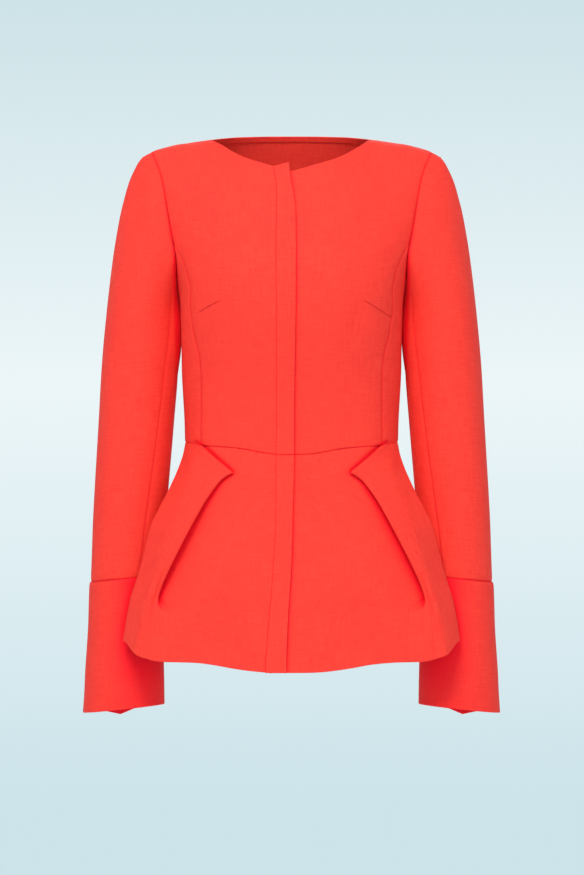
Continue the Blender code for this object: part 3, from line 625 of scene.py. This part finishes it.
def tilted(level, turn):
    return level[0] - level[1] * np.cos(turn) + level[2] * np.sin(turn)


def gathered(start, end, even):  # columns closer together over the top of the arm
    share = np.linspace(0, 1, 200)
    turn = start + (end - start) * share
    close = np.cumsum(1 + sleeve["topCloser"] * bell(turn / sleeve["topReach"]))
    return np.interp(even, (close - close[0]) / (close[-1] - close[0]), share)


def sleeveHead(turn, t):
    onTop = (1 + np.cos(turn)) / 2
    out = sleeve["capOut"] + (1 - sleeve["capOut"]) * onTop
    fall = 1 - (1 - sleeve["capFall"]) * onTop
    spread = -sleeve["capSpread"] * np.sin(turn) * (1 - sleeve["capNarrow"] * onTop)
    away = unit(np.stack([out, spread, -fall], -1))
    begin = armholePoint(turn) + halfGap * away
    end = ringPoint(sleeve["arm"], turn, np.full_like(turn, sleeve["bicep"]))
    along = unit(ringPoint(sleeve["arm"], turn, np.full_like(turn, sleeve["bicep"] - 0.01)) - end)
    reach = np.linalg.norm(end - begin, axis=-1, keepdims=True)
    return cubic(t, begin, end, reach * sleeve["capStart"] * away, reach * sleeve["capEnd"] * along)


def sleeveGrid(first, last, columns):  # armhole to cuff, between two seams given as (seam, whole turns)
    even = np.linspace(0, 1, columns + 1)
    edge = halfGap / sleeve["armRound"]
    lines = []
    for k in range(sleeve["capRows"] + sleeve["armRows"] + 1):
        cap = min(1, k / sleeve["capRows"])
        arm = max(0, (k - sleeve["capRows"]) / sleeve["armRows"])
        level = bodice["underarm"] + (sleeve["bicep"] - bodice["underarm"]) * cap
        level = level + (cuff["top"][0] - sleeve["bicep"]) * arm
        start = math.radians(valueAt(sleeve["seams"], first[0], level) + 360 * first[1])
        end = math.radians(valueAt(sleeve["seams"], last[0], level) + 360 * last[1])
        turn = (start + edge) + (end - start - 2 * edge) * gathered(start, end, even)
        if cap < 1:
            lines.append(sleeveHead(turn, cap ** sleeve["capCloser"]))
        else:
            height = (1 - arm) * sleeve["bicep"] + arm * (tilted(cuff["top"], turn) + halfGap)
            lines.append(ringPoint(sleeve["arm"], turn, height))
    return np.array(lines[::-1])


def cuffGrid():
    space = cloth["gap"] / cuff["splitRound"]
    start, end = cuff["split"] - 2 * math.pi + space, cuff["split"] - space
    turn = np.linspace(start, end, cuff["columns"] + 1)[None, :]
    down = np.linspace(1, 0, cuff["rows"] + 1)[:, None]
    fromSplit = math.pi - np.abs(turn - cuff["split"] + math.pi)
    corner = cuff["corner"] * bell(fromSplit / cuff["cornerReach"])
    top = tilted(cuff["top"], turn) - halfGap
    height = (1 - down) * top + down * (tilted(cuff["hem"], turn) - corner)
    return ringPoint(cuff["rings"], turn, height)


# From the cut's grid to a fine shell with turned edges
def curveThrough(points, at, corners):  # each line by its own spacing, so that close columns don't loop
    chord = np.maximum(np.linalg.norm(np.diff(points, axis=0), axis=-1, keepdims=True), 1e-6)
    slope = np.diff(points, axis=0) / chord
    one, two = chord[:-1], chord[1:]
    middle = (slope[1:] * one + slope[:-1] * two) / (one + two)
    leaving = np.concatenate([slope[:1], middle, slope[-1:]])
    arriving = leaving.copy()
    if corners:  # a sharp tip keeps its point
        turn = (slope[1:] * slope[:-1]).sum(-1, keepdims=True)
        sharp = 1 - ease((turn - cloth["tipFrom"]) / cloth["tipRange"])
        leaving[1:-1] = (1 - sharp) * middle + sharp * slope[1:]
        arriving[1:-1] = (1 - sharp) * middle + sharp * slope[:-1]
    k = np.clip(at.astype(int), 0, len(chord) - 1)
    t = (at - k)[:, None, None]
    return cubic(t, points[k], points[k + 1], chord[k] * leaving[k], chord[k] * arriving[k + 1])


def fineSteps(points, axis, least):  # places along a grid, counted in its own lines
    fineness = cloth["fineness"]
    step = np.linalg.norm(np.diff(points, axis=axis), axis=-1).mean(1 - axis)
    along = np.concatenate([[0], np.cumsum(step)])
    edge = np.array(cloth["edgeSteps"])
    inner = np.concatenate([
        np.linspace(a, b, max(least, math.ceil((b - a) / fineness)) + 1)[:-1]
        for a, b in zip(along[:-1], along[1:])
    ])
    clear = edge[-1] + fineness / 2
    inner = inner[(inner > clear) & (inner < along[-1] - clear)]
    return np.interp(np.concatenate([edge, inner, along[-1] - edge[::-1]]), along, np.arange(len(along)))


def arcLengths(points, axis):
    step = np.linalg.norm(np.diff(points, axis=axis), axis=-1)
    first = np.zeros_like(np.take(step, [0], axis))
    return np.concatenate([first, np.cumsum(step, axis)], axis)


def inwardNormals(points, flip):
    normal = unit(np.cross(np.gradient(points, axis=0), np.gradient(points, axis=1)))
    return -normal if flip else normal


def pressCreases(points, inward, creases):  # soft troughs (plus) and ridges (minus)
    spread, swell = cloth["creaseSpread"], cloth["creaseSwell"]
    for start, end, width, depth in creases:
        start, end = np.asarray(start, float), np.asarray(end, float)
        way = end - start
        along = np.clip(((points - start) @ way) / (way @ way), 0, 1)
        far = np.linalg.norm(points - start - along[..., None] * way, axis=-1)
        shape = bell(far / (width * (spread[0] + spread[1] * along)))
        shape = shape * np.sin(math.pi * (swell[0] + swell[1] * along))
        push = inward * depth if np.ndim(depth) == 0 else np.array(depth)
        points = points + push * shape[..., None]
    return points


def turnEdge(layers, axis, atEnd, kind):  # roll an edge back under, or run it on under its neighbour
    layers = {key: np.moveaxis(value, axis, 0)[::-1 if atEnd else 1] for key, value in layers.items()}
    place, inward, chart, marks = (layers[key] for key in ("place", "inward", "chart", "marks"))
    out = unit(place[0] - place[2])
    rows = {key: [] for key in layers}

    def addRow(at, k, spot, mark):
        for key, value in (("place", at), ("inward", inward[k]), ("chart", spot), ("marks", mark)):
            rows[key].append(value)

    if "lap" in kind:
        base = 0
        for far in kind["lap"] * cloth["lapSteps"]:
            sunk = cloth["lapDepth"] * ease(far / cloth["lapFall"])
            on = chart[0] + (chart[0] - chart[2]) * far / cloth["edgeSteps"][2]
            addRow(place[0] + far * out + sunk * inward[0], 0, on, marks[0])
    else:
        base = 0 if kind.get("reach") else 1
        radius = kind["roll"] * (1 if axis == 0 else cloth["sideRoll"])
        run = arcLengths(place, 0).mean(1)
        for far in kind["width"] * cloth["rollSteps"]:
            k = int(np.argmin(np.abs(run - far)))
            addRow(place[k] + 2 * radius * inward[k], k, 2 * chart[0] - chart[k], marks[k])
        for turn in cloth["rollTurns"]:
            around = np.sin(turn) * out + (1 - np.cos(turn)) * inward[base]
            addRow(place[base] + radius * around, base, chart[1] + (chart[0] - chart[1]) * turn, marks[0])
    made = {key: np.concatenate([np.array(rows[key]), value[base:]]) for key, value in layers.items()}
    return {key: np.moveaxis(value[::-1 if atEnd else 1], 0, axis) for key, value in made.items()}


def objectFrom(shape, name, material):
    mesh = bpy.data.meshes.new(name)
    shape.to_mesh(mesh)
    shape.free()
    mesh.materials.append(material)
    made = bpy.data.objects.new(name, mesh)
    bpy.context.scene.collection.objects.link(made)
    return made


def clothPiece(name, node, grid, flip, edges, creases=(), dart=None, corners=False, least=2, finish=None):
    wide = curveThrough(np.moveaxis(grid, 1, 0), fineSteps(grid, 1, least), False)
    place = curveThrough(np.moveaxis(wide, 0, 1), fineSteps(grid, 0, least), corners)
    chart = np.stack([arcLengths(place, 1), arcLengths(place, 0)], -1)
    middle = chart.shape[1] // 2
    chart[..., 0] -= chart[:, middle:middle + 1, 0]
    inward = inwardNormals(place, flip)
    place = pressCreases(place, inward, creases)

    length = arcLengths(place, 1), arcLengths(place, 0)
    far = {
        "start": length[0], "end": length[0][:, -1:] - length[0],
        "low": length[1], "high": length[1][-1:] - length[1],
    }
    # seamFar, the distance to the nearest sewn edge, drives the painted shade line along the seams
    seamFar = np.full(place.shape[:2], cloth["farFromSeams"])
    for side, kind in edges.items():
        if "dip" in kind:
            seamFar = np.minimum(seamFar, far[side] + kind.get("faint", 0))
            dip = kind["dip"] * bell(far[side] / cloth["seamDipWidth"])
            place = place + inward * dip[..., None]
    marks = np.zeros((*place.shape[:2], 3))
    marks[..., 0] = seamFar
    marks[..., 1] = 1
    if dart is not None:
        start, end = (np.asarray(p, float) for p in dart)
        way = end - start
        aside = unit(np.cross(way, (0, -1, 0)))
        marks[..., 1] = (place - start) @ aside
        marks[..., 2] = ((place - start) @ way) / (way @ way)

    layers = {"place": place, "inward": inward, "chart": chart, "marks": marks}
    for k, side in enumerate(("low", "high", "start", "end")):
        layers = turnEdge(layers, k // 2, k % 2 == 1, edges[side])

    place, chart, marks = layers["place"], layers["chart"], layers["marks"]
    rows, columns = place.shape[:2]
    shape = bmesh.new()
    flags = [shape.verts.layers.float.new(key) for key in ("seamFar", "dartAcross", "dartAlong")]
    bmesh.ops.create_grid(shape, x_segments=columns - 1, y_segments=rows - 1, size=1)
    uv = shape.loops.layers.uv.new("cloth")
    spots = {}
    for corner in shape.verts:
        i = round((corner.co.x + 1) / 2 * (columns - 1))
        j = round((corner.co.y + 1) / 2 * (rows - 1))
        spots[corner] = (j, i)
        corner.co = place[j, i]
        for flag, value in zip(flags, marks[j, i]):
            corner[flag] = value
    for face in shape.faces:
        face.smooth = True
        for loop in face.loops:
            loop[uv].uv = chart[spots[loop.vert]]
    if flip:
        bmesh.ops.reverse_faces(shape, faces=shape.faces)
    piece = objectFrom(shape, name, finish or crepe)
    mesh = piece.data
    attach(piece, "root")
    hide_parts(node)
    area = sum(face.area for face in mesh.polygons)
    size = np.ptp(chart.reshape(-1, 2), axis=0)
    cut = f"cut {size[0]:.3f} by {size[1]:.3f}"
    print(f"{name}: {len(mesh.polygons)} faces, {area:.4f} square metres, {cut}")


def mirrored(points):
    return np.asarray(points) * (-1, 1, 1)


# Shader wiring
class Wire:
    def __init__(self, bench, socket):
        self.bench, self.socket = bench, socket

    def maths(self, operation, one, two):
        return self.bench.node("ShaderNodeMath", {"operation": operation}, {0: one, 1: two})

    def __add__(self, other):
        return self.maths("ADD", self, other)

    def __radd__(self, other):
        return self.maths("ADD", other, self)

    def __sub__(self, other):
        return self.maths("SUBTRACT", self, other)

    def __rsub__(self, other):
        return self.maths("SUBTRACT", other, self)

    def __mul__(self, other):
        return self.maths("MULTIPLY", self, other)

    def __rmul__(self, other):
        return self.maths("MULTIPLY", other, self)

    def __abs__(self):
        return self.maths("ABSOLUTE", self, 0.0)


class Bench:
    def __init__(self, name):
        self.material = bpy.data.materials.new(name)
        self.material.use_nodes = True
        self.tree = self.material.node_tree
        self.tree.nodes.clear()

    def node(self, kind, settings=None, sockets=None, out=0):
        made = self.tree.nodes.new(kind)
        for key, value in (settings or {}).items():
            if key == "stops":
                stops = made.color_ramp.elements
                for at, colour in value[1:-1]:
                    stops.new(at)
                for stop, (at, colour) in zip(stops, value):
                    stop.position, stop.color = at, colour
            else:
                setattr(made, key, value)
        for key, value in (sockets or {}).items():
            if isinstance(value, Wire):
                self.tree.links.new(value.socket, made.inputs[key])
            else:
                made.inputs[key].default_value = value
        return Wire(self, made.outputs[out]) if made.outputs else made

    def smooth(self, value, low, high):  # 0 below low, 1 above high
        settings = {"interpolation_type": "SMOOTHSTEP"}
        return self.node("ShaderNodeMapRange", settings, {0: value, 1: low, 2: high})

    def noise(self, place, scale, detail=2.0, stretch=(1, 1, 1)):
        spot = self.node("ShaderNodeMapping", None, {"Vector": place, "Scale": stretch})
        return self.node("ShaderNodeTexNoise", None, {"Vector": spot, "Scale": scale, "Detail": detail})

    def mix(self, share, one, two):
        return self.node("ShaderNodeMix", {"data_type": "RGBA"}, {0: share, 6: one, 7: two}, 2)

    def mark(self, name):
        return self.node("ShaderNodeAttribute", {"attribute_name": name}, None, 2)

    def wave(self, value):
        return self.node("ShaderNodeMath", {"operation": "SINE"}, {0: value})


crepeLook = {
    "red": (0.89, 0.050, 0.032, 1),
    "deepRed": (0.75, 0.020, 0.018, 1),
    "paintedShadeRed": (0.88, 0.004, 0.016, 1),  # painted shade, a deeper crimson for folds and gaps, standing in for cloth lit only by light off other cloth
    # Painted shade in hollows: a hollow's reach, how open it is where the shade is deepest and where it
    # fades at the rim, and whether it is seen from above
    "folds": {"reach": 0.10, "deep": 0.30, "rim": 0.93, "upward": 0.0, "alone": True},
    "paintedHemShadow": {"reach": 0.18, "deep": 0.66, "rim": 0.87, "upward": 0.9, "alone": False},
    "paintedEdgeShade": {"reach": 0.010, "deep": 0.50, "rim": 0.96},
    "roughness": 0.78,
    "fuzzRough": 0.12,
    "specular": 0.16,
    "sheen": {"Sheen Weight": 0.06, "Sheen Roughness": 0.40, "Sheen Tint": (1, 0.40, 0.34, 1)},
    "thread": 0.00085,  # one thread to the next
    "slub": (620, 42),  # slubs to a metre across their thread and along it
    "broadScale": 9.0,
    "fuzzScale": 2300.0,
    # How much each darkens the red; for the seam and the dart this is painted shade along their lines
    "tone": {"plain": 0.30, "slub": 1.05, "broad": 0.40, "fuzz": 0.50, "seam": 0.80, "dart": 0.70},
    "bump": {"weave": 0.00005, "slub": 0.00006, "fuzz": 0.00004, "dart": 0.0009},
    "seamShadeLine": (0.0003, 0.0017),
    "dartShadeAndDentLine": (0.0001, 0.0013),
    "dartBegins": (-0.03, 0.02),
    "dartEnds": (0.80, 1.02),
}


def makeCrepe(name, hollow):
    bench = Bench(name)
    tones, bumps, beside = crepeLook["tone"], crepeLook["bump"], crepeLook["paintedEdgeShade"]
    chart = bench.node("ShaderNodeUVMap", {"uv_map": "cloth"})
    parts = bench.node("ShaderNodeSeparateXYZ", None, {0: chart})
    u, v = parts, Wire(bench, parts.socket.node.outputs[1])
    turn = 2 * math.pi / crepeLook["thread"]
    weave = bench.wave(u * turn) * bench.wave(v * turn)
    close, far = crepeLook["slub"]
    upright = bench.noise(chart, 1.0, 2.0, (close, far, 1))
    level = bench.noise(chart, 1.0, 2.0, (far, close, 1))
    slub = upright + level - 1.0
    broad = bench.noise(chart, crepeLook["broadScale"], 3.0) - 0.5
    fuzz = bench.noise(chart, crepeLook["fuzzScale"], 1.0)
    # Painted shade: a darker line along each seam and along the dart, where their grooves would be in
    # shade; the dart also dents the bump
    seam = 1 - bench.smooth(bench.mark("seamFar"), *crepeLook["seamShadeLine"])
    along = bench.mark("dartAlong")
    dart = 1 - bench.smooth(abs(bench.mark("dartAcross")), *crepeLook["dartShadeAndDentLine"])
    dart = dart * bench.smooth(along, *crepeLook["dartBegins"])
    dart = dart * (1 - bench.smooth(along, *crepeLook["dartEnds"]))
    tone = tones["plain"] + slub * tones["slub"] + broad * tones["broad"] + (fuzz - 0.5) * tones["fuzz"]
    tone = bench.node("ShaderNodeClamp", None, {0: tone + seam * tones["seam"] + dart * tones["dart"]})
    colour = bench.mix(tone, crepeLook["red"], crepeLook["deepRed"])
    # Painted shade: where ambient occlusion finds cloth close by, in a piece's own folds and beside other
    # pieces' edges, the red is mixed toward a deeper crimson
    facing = bench.node("ShaderNodeNewGeometry", None, None, "Normal")
    lifted = {0: facing, 1: (0, 0, hollow["upward"])}
    facing = bench.node("ShaderNodeVectorMath", {"operation": "ADD"}, lifted)
    facing = bench.node("ShaderNodeVectorMath", {"operation": "NORMALIZE"}, {0: facing})
    openness = bench.node(
        "ShaderNodeAmbientOcclusion", {"samples": 8, "only_local": hollow["alone"]},
        {"Distance": hollow["reach"], "Normal": facing}, 1,
    )
    near = bench.node("ShaderNodeAmbientOcclusion", {"samples": 8}, {"Distance": beside["reach"]}, 1)
    clear = bench.smooth(openness, hollow["deep"], hollow["rim"])
    clear = clear * bench.smooth(near, beside["deep"], beside["rim"])
    colour = bench.mix(1 - clear, colour, crepeLook["paintedShadeRed"])
    height = weave * bumps["weave"] + slub * bumps["slub"] + fuzz * bumps["fuzz"] - dart * bumps["dart"]
    bump = bench.node("ShaderNodeBump", None, {"Strength": 1.0, "Distance": 1.0, "Height": height})
    rough = crepeLook["roughness"] + (fuzz - 0.5) * crepeLook["fuzzRough"]
    shader = bench.node("ShaderNodeBsdfPrincipled", None, {
        "Base Color": colour, "Roughness": rough, "Normal": bump,
        "Specular IOR Level": crepeLook["specular"], **crepeLook["sheen"],
    })
    bench.node("ShaderNodeOutputMaterial", None, {"Surface": shader})
    return bench.material


# The crepe paints shade into each piece's own folds and beside neighbouring edges
crepe = makeCrepe("crepe", crepeLook["folds"])
# The cuffs' crepe also paints the peplum hem's shadow onto them, testing upward against every piece
cuffCrepePaintedShadow = makeCrepe("cuffCrepePaintedShadow", crepeLook["paintedHemShadow"])
print("crepe wired")

# How an edge is finished: sewn ones dip along the seam and roll in, or lap under the next panel
# faint moves a seam's painted shade line away from the edge, so that it shows less
sewn = {"dip": 0.0007, "roll": 0.00074, "width": 0.009}
waist = {"dip": 0.0003, "roll": 0.00060, "width": 0.010, "faint": 0.0004}
lapped = {"dip": 0.0009, "lap": 0.012}
backLap = {**lapped, "lap": 0.014}
sideLap = {**lapped, "lap": 0.016}
stripLap = {"dip": 0.0004, "lap": 0.008, "faint": 0.0009}
waistLap = {"dip": 0.0003, "lap": 0.008, "faint": 0.0004}
stripSeam = {"dip": 0.0004, "roll": 0.00060, "width": 0.009, "faint": 0.0009}
headed = {"dip": 0.0002, "roll": 0.0007, "width": 0.010, "reach": True}  # the sleeve head over the armhole
free = {"roll": 0.0006, "width": 0.016}
hem = {"roll": 0.00085, "width": 0.022}
placket = {"roll": 0.00105, "width": 0.014}  # the strip's folded edge, two layers and interlining


def onArm(degrees, z):
    return ringPoint(sleeve["arm"], math.radians(degrees), z)


def onPeplum(x, down):
    z = peplum["creaseTop"] - peplum["creaseLength"] * down
    return np.array([x, float(peplumDepth(x, down)), z])


def creasesOn(placeOf, *rows):  # from, to, width, depth
    return [(placeOf(*row[:2]), placeOf(*row[2:4]), *row[4:]) for row in rows]


shoulderSeam = {"outer": 0.150, "past": 0.3, "width": 0.006, "pull": 0.0006}


def shoulderPull(side, way):  # draws the cloth to the shoulder seam, so that nothing shows through it
    places = bodice["neckSide"], shoulderSeam["outer"]
    ends = [frontPoint(side * x, lineAt(bodice["shoulder"], x)) for x in places]
    past = (ends[1] - ends[0]) * shoulderSeam["past"]
    return ends[0] - past, ends[1] + past, shoulderSeam["width"], (0, way * shoulderSeam["pull"], 0)


# Fronts and side bodies
frontCreases = {
    "right": creasesOn(
        frontPoint,
        (-0.0815, -0.2120, -0.0715, -0.2580, 0.010, 0.0024),
        (-0.1250, -0.1480, -0.0960, -0.1950, 0.013, 0.0017),
        (-0.0560, -0.2050, -0.0500, -0.2450, 0.013, 0.0007),
        (-0.0900, -0.3420, -0.0500, -0.3500, 0.009, 0.0005),
    ) + [shoulderPull(-1, 1)],
    "left": creasesOn(
        frontPoint,
        (0.0850, -0.2120, 0.0770, -0.2560, 0.011, 0.0018),
        (0.1280, -0.1430, 0.1010, -0.1880, 0.014, 0.0014),
        (0.0600, -0.2000, 0.0560, -0.2380, 0.012, 0.0006),
        (0.0950, -0.3500, 0.0600, -0.3560, 0.010, 0.0005),
    ) + [shoulderPull(1, 1)],
}
darts = {
    "right": (frontPoint(-0.1150, -0.2240), frontPoint(-0.0860, -0.2098)),
    "left": (frontPoint(0.1255, -0.2304), frontPoint(0.0858, -0.2088)),
}
panelEdges = {"low": waist, "high": free, "start": stripLap, "end": lapped}
clothPiece(
    "frontRightCloth", "front_right", mirrored(frontGrid(rightInner)), True, panelEdges,
    frontCreases["right"], darts["right"],
)
clothPiece(
    "frontLeftCloth", "front_left", underStrip(frontGrid(leftInner)), False, {**panelEdges, "start": free},
    frontCreases["left"], darts["left"],
)
sideEdges = {"low": waist, "high": sideLap, "start": sewn, "end": sewn}
sidePoints = sideGrid(bodice["sideColumns"], bodice["seamRows"], halfGap)
clothPiece("sideRightCloth", "side_right", mirrored(sidePoints), True, sideEdges)
clothPiece("sideLeftCloth", "side_left", sidePoints, False, sideEdges)

# Front strip, above and below the waist seam
waistLevel = float(lineAt(bodice["waistFront"], 0))
hemLevel = float(lineAt(peplum["hemFront"], 0))
upperUp = climbing(outerEdge(bodice["princess"], bodice["armholeFront"], bodice["waistFront"]))
clothPiece(
    "upperStripCloth", "front_strip_upper",
    stripGrid(waistLevel + halfGap, strip["topSeam"], strip["topEdge"], upperFrontDepth, upperUp),
    False, {"low": waist, "high": free, "start": stripSeam, "end": placket},
)
lowerTop = waistLevel - halfGap
clothPiece(
    "lowerStripCloth", "front_strip_lower",
    stripGrid(hemLevel, lowerTop, lowerTop, lowerFrontDepth, 1 - peplum["rows"][::-1]),
    False, {"low": free, "high": waistLap, "start": stripSeam, "end": placket},
)

# Back, plain, with the soft folds that cloth makes above a waist
backCreases = [shoulderPull(-1, -1), shoulderPull(1, -1)] + creasesOn(
    backPoint,
    (-0.060, -0.315, 0.010, -0.328, 0.010, 0.0014),
    (0.070, -0.300, 0.005, -0.318, 0.011, 0.0012),
    (-0.075, -0.345, -0.005, -0.352, 0.009, 0.0010),
    (0.072, -0.338, 0.020, -0.350, 0.009, 0.0011),
    (-0.120, -0.090, -0.085, -0.170, 0.014, 0.0012),
    (0.122, -0.085, 0.090, -0.165, 0.014, 0.0012),
)
backEdges = {"low": waist, "high": free, "start": backLap, "end": backLap}
clothPiece("backCloth", "back", backGrid(), True, backEdges, backCreases)

# Peplum
peplumCreases = {
    "right": creasesOn(
        onPeplum,
        (-0.050, 0.55, -0.058, 0.98, 0.016, 0.0012),
        (-0.095, 0.70, -0.112, 0.99, 0.015, 0.0010),
    ) + [((-0.1635, -0.1012, -0.584), (-0.1680, -0.1042, -0.630), 0.0055, 0.0024)],
    "left": creasesOn(
        onPeplum,
        (0.052, 0.60, 0.056, 0.98, 0.017, 0.0011),
        (0.100, 0.68, 0.114, 0.99, 0.014, 0.0010),
    ) + [((0.1640, -0.1010, -0.585), (0.1675, -0.1040, -0.626), 0.0055, 0.0022)],
}
peplumEdges = {"low": hem, "high": waistLap, "start": stripLap, "end": sewn}
leftPeplum = peplumFrontGrid(leftInner)
plain = slice(0, peplum["plainColumns"])
leftPeplum[:, plain] = underStrip(leftPeplum[:, plain])
clothPiece(
    "peplumRightCloth", "peplum_front_right", mirrored(peplumFrontGrid(rightInner)), True, peplumEdges,
    peplumCreases["right"], corners=True, least=3,
)
clothPiece(
    "peplumLeftCloth", "peplum_front_left", leftPeplum, False, {**peplumEdges, "start": free},
    peplumCreases["left"], corners=True, least=3,
)
clothPiece("peplumBackCloth", "peplum_back", peplumBackGrid(), True, {**peplumEdges, "start": sewn})

# Sleeves and cuffs
sleeveCreases = {
    "right": creasesOn(
        onArm,
        (60, -0.330, 118, -0.352, 0.012, 0.0012),
        (70, -0.372, 116, -0.362, 0.011, 0.0009),
        (250, -0.340, 320, -0.325, 0.012, 0.0012),
        (40, -0.490, 60, -0.545, 0.016, 0.0008),
        (176, -0.176, 178, -0.300, 0.024, -0.0056),
    ),
    "left": creasesOn(
        onArm,
        (55, -0.345, 114, -0.338, 0.013, 0.0011),
        (75, -0.366, 118, -0.380, 0.010, 0.0010),
        (245, -0.330, 315, -0.345, 0.012, 0.0012),
        (50, -0.500, 35, -0.548, 0.015, 0.0008),
        (178, -0.176, 177, -0.298, 0.024, -0.0054),
    ),
}
sleeveEdges = {"low": sewn, "high": headed, "start": sewn, "end": sewn}
cuffEdges = {"low": hem, "high": sewn, "start": free, "end": free}
upperPoints = sleeveGrid(("back", -1), ("front", 0), sleeve["upperColumns"])
underPoints = sleeveGrid(("front", 0), ("back", 0), sleeve["underColumns"])
cuffPoints = cuffGrid()
for hand, turned, flip in (("right", mirrored, False), ("left", np.asarray, True)):
    creases = [(turned(start), turned(end), *rest) for start, end, *rest in sleeveCreases[hand]]
    cap = hand.capitalize()
    for half, points in (("upper", upperPoints), ("under", underPoints)):
        name, node = f"{half}Sleeve{cap}Cloth", f"{half}_sleeve_{hand}"
        clothPiece(name, node, turned(points), flip, sleeveEdges, creases)
    # the cuffs take the crepe with the painted shadow of the peplum hem
    clothPiece(f"cuff{cap}Cloth", f"cuff_{hand}", turned(cuffPoints), flip, cuffEdges, finish=cuffCrepePaintedShadow)

# Studio: pale floor, a ground that glows with painted light, soft light from the front and above, camera as
# in the picture
studio = {
    "floor": -1.36,
    "floorBehind": 2.6,  # just out of the picture
    "floorHalf": 7.0,
    "groundBehind": 6.5,  # past every camera
    "groundHalf": 14.0,
    # The ground glows with painted light: brightest around the middle of its height range and darker toward
    # its top and bottom
    "groundRange": (-1.61, 1.275),
    "groundLightStops": (
        (0.0, (0.60, 0.77, 0.82, 1)),
        (0.52, (0.84, 0.92, 0.94, 1)),
        (1.0, (0.61, 0.76, 0.80, 1)),
    ),
    "pale": (0.78, 0.88, 0.90, 1),
    "mottled": (0.74, 0.85, 0.88, 1),
    "mottleScale": 3.0,
    "mottleShare": 0.3,
    "floorRough": 0.9,
    "world": (0.80, 0.89, 0.92, 1),
    "worldStrength": 0.50,
    "aim": (0, 0, -0.4),
    "lights": (  # name, place, size, power and colour
        ("keyLight", (-0.5, -2.2, 1.9), (1.3, 0.9), 74, (1, 0.98, 0.96)),
        ("fillLight", (0.5, -3.9, -0.1), (2.6, 2.0), 44, (1, 0.98, 0.97)),
        ("sideLight", (-3.4, -0.7, 0.2), (1.4, 2.4), 10, (1, 0.98, 0.97)),
        ("sideLight", (3.4, -0.7, 0.2), (1.4, 2.4), 10, (1, 0.98, 0.97)),
        ("backLight", (0.6, 3.6, 1.5), (2.4, 1.6), 45, (1, 0.98, 0.97)),
    ),
}
camera = {
    "distance": 3.6,
    "perPixel": 0.001275,
    "pictureRows": 875,
    "sensor": 36,
    "across": 0.0006,
    "level": -0.42075,
    "horizonBelow": 32.5,  # in pixels
}


def makeGround():
    bench = Bench("paintedLightGround")
    place = bench.node("ShaderNodeTexCoord", None, None, 3)
    height = bench.node("ShaderNodeSeparateXYZ", None, {0: place}, 2)
    low, high = studio["groundRange"]
    share = bench.node("ShaderNodeMapRange", None, {0: height, 1: low, 2: high})
    colour = bench.node("ShaderNodeValToRGB", {"stops": studio["groundLightStops"]}, {0: share})
    glow = bench.node("ShaderNodeEmission", None, {"Color": colour, "Strength": 1.0})
    bench.node("ShaderNodeOutputMaterial", None, {"Surface": glow})
    return bench.material


def makePale():
    bench = Bench("paleFloor")
    place = bench.node("ShaderNodeTexCoord", None, None, 3)
    mottle = bench.noise(place, studio["mottleScale"]) * studio["mottleShare"]
    colour = bench.mix(mottle, studio["pale"], studio["mottled"])
    settings = {"Base Color": colour, "Roughness": studio["floorRough"]}
    shader = bench.node("ShaderNodeBsdfPrincipled", None, settings)
    bench.node("ShaderNodeOutputMaterial", None, {"Surface": shader})
    return bench.material


def stagePlane(name, half, turn, place, material):
    shape = bmesh.new()
    bmesh.ops.create_grid(shape, x_segments=8, y_segments=8, size=half)
    bmesh.ops.rotate(shape, verts=shape.verts, cent=(0, 0, 0), matrix=turn)
    bmesh.ops.translate(shape, verts=shape.verts, vec=place)
    objectFrom(shape, name, material)


floorMiddle = (0, studio["floorBehind"] - studio["floorHalf"], studio["floor"])
stagePlane("floorStage", studio["floorHalf"], Matrix.Identity(3), floorMiddle, makePale())
upright = Matrix.Rotation(math.radians(90), 3, "X")
stagePlane("groundStage", studio["groundHalf"], upright, (0, studio["groundBehind"], 0), makeGround())

for name, place, size, power, colour in studio["lights"]:
    lamp = bpy.data.lights.new(name, "AREA")
    lamp.shape, lamp.size, lamp.size_y = "RECTANGLE", size[0], size[1]
    lamp.energy, lamp.color = power, colour
    light = bpy.data.objects.new(name, lamp)
    light.location = place
    light.rotation_euler = (Vector(studio["aim"]) - Vector(place)).to_track_quat("-Z", "Y").to_euler()
    bpy.context.scene.collection.objects.link(light)
world = bpy.data.worlds.new("studioWorld")
world.use_nodes = True
sky = world.node_tree.nodes["Background"].inputs
sky["Color"].default_value = studio["world"]
sky["Strength"].default_value = studio["worldStrength"]
bpy.context.scene.world = world
bpy.context.scene.view_settings.view_transform = "Standard"

lens = bpy.data.cameras.new("pictureCamera")
lens.sensor_width = camera["sensor"]
lens.lens = camera["sensor"] * camera["distance"] / (camera["pictureRows"] * camera["perPixel"])
eye = bpy.data.objects.new("pictureCamera", lens)
eye.location = (camera["across"], -camera["distance"], camera["level"])
up = math.atan(camera["horizonBelow"] * camera["perPixel"] / camera["distance"])
eye.rotation_euler = (math.radians(90) + up, 0, 0)
bpy.context.scene.collection.objects.link(eye)
bpy.context.scene.camera = eye
print("studio ready")
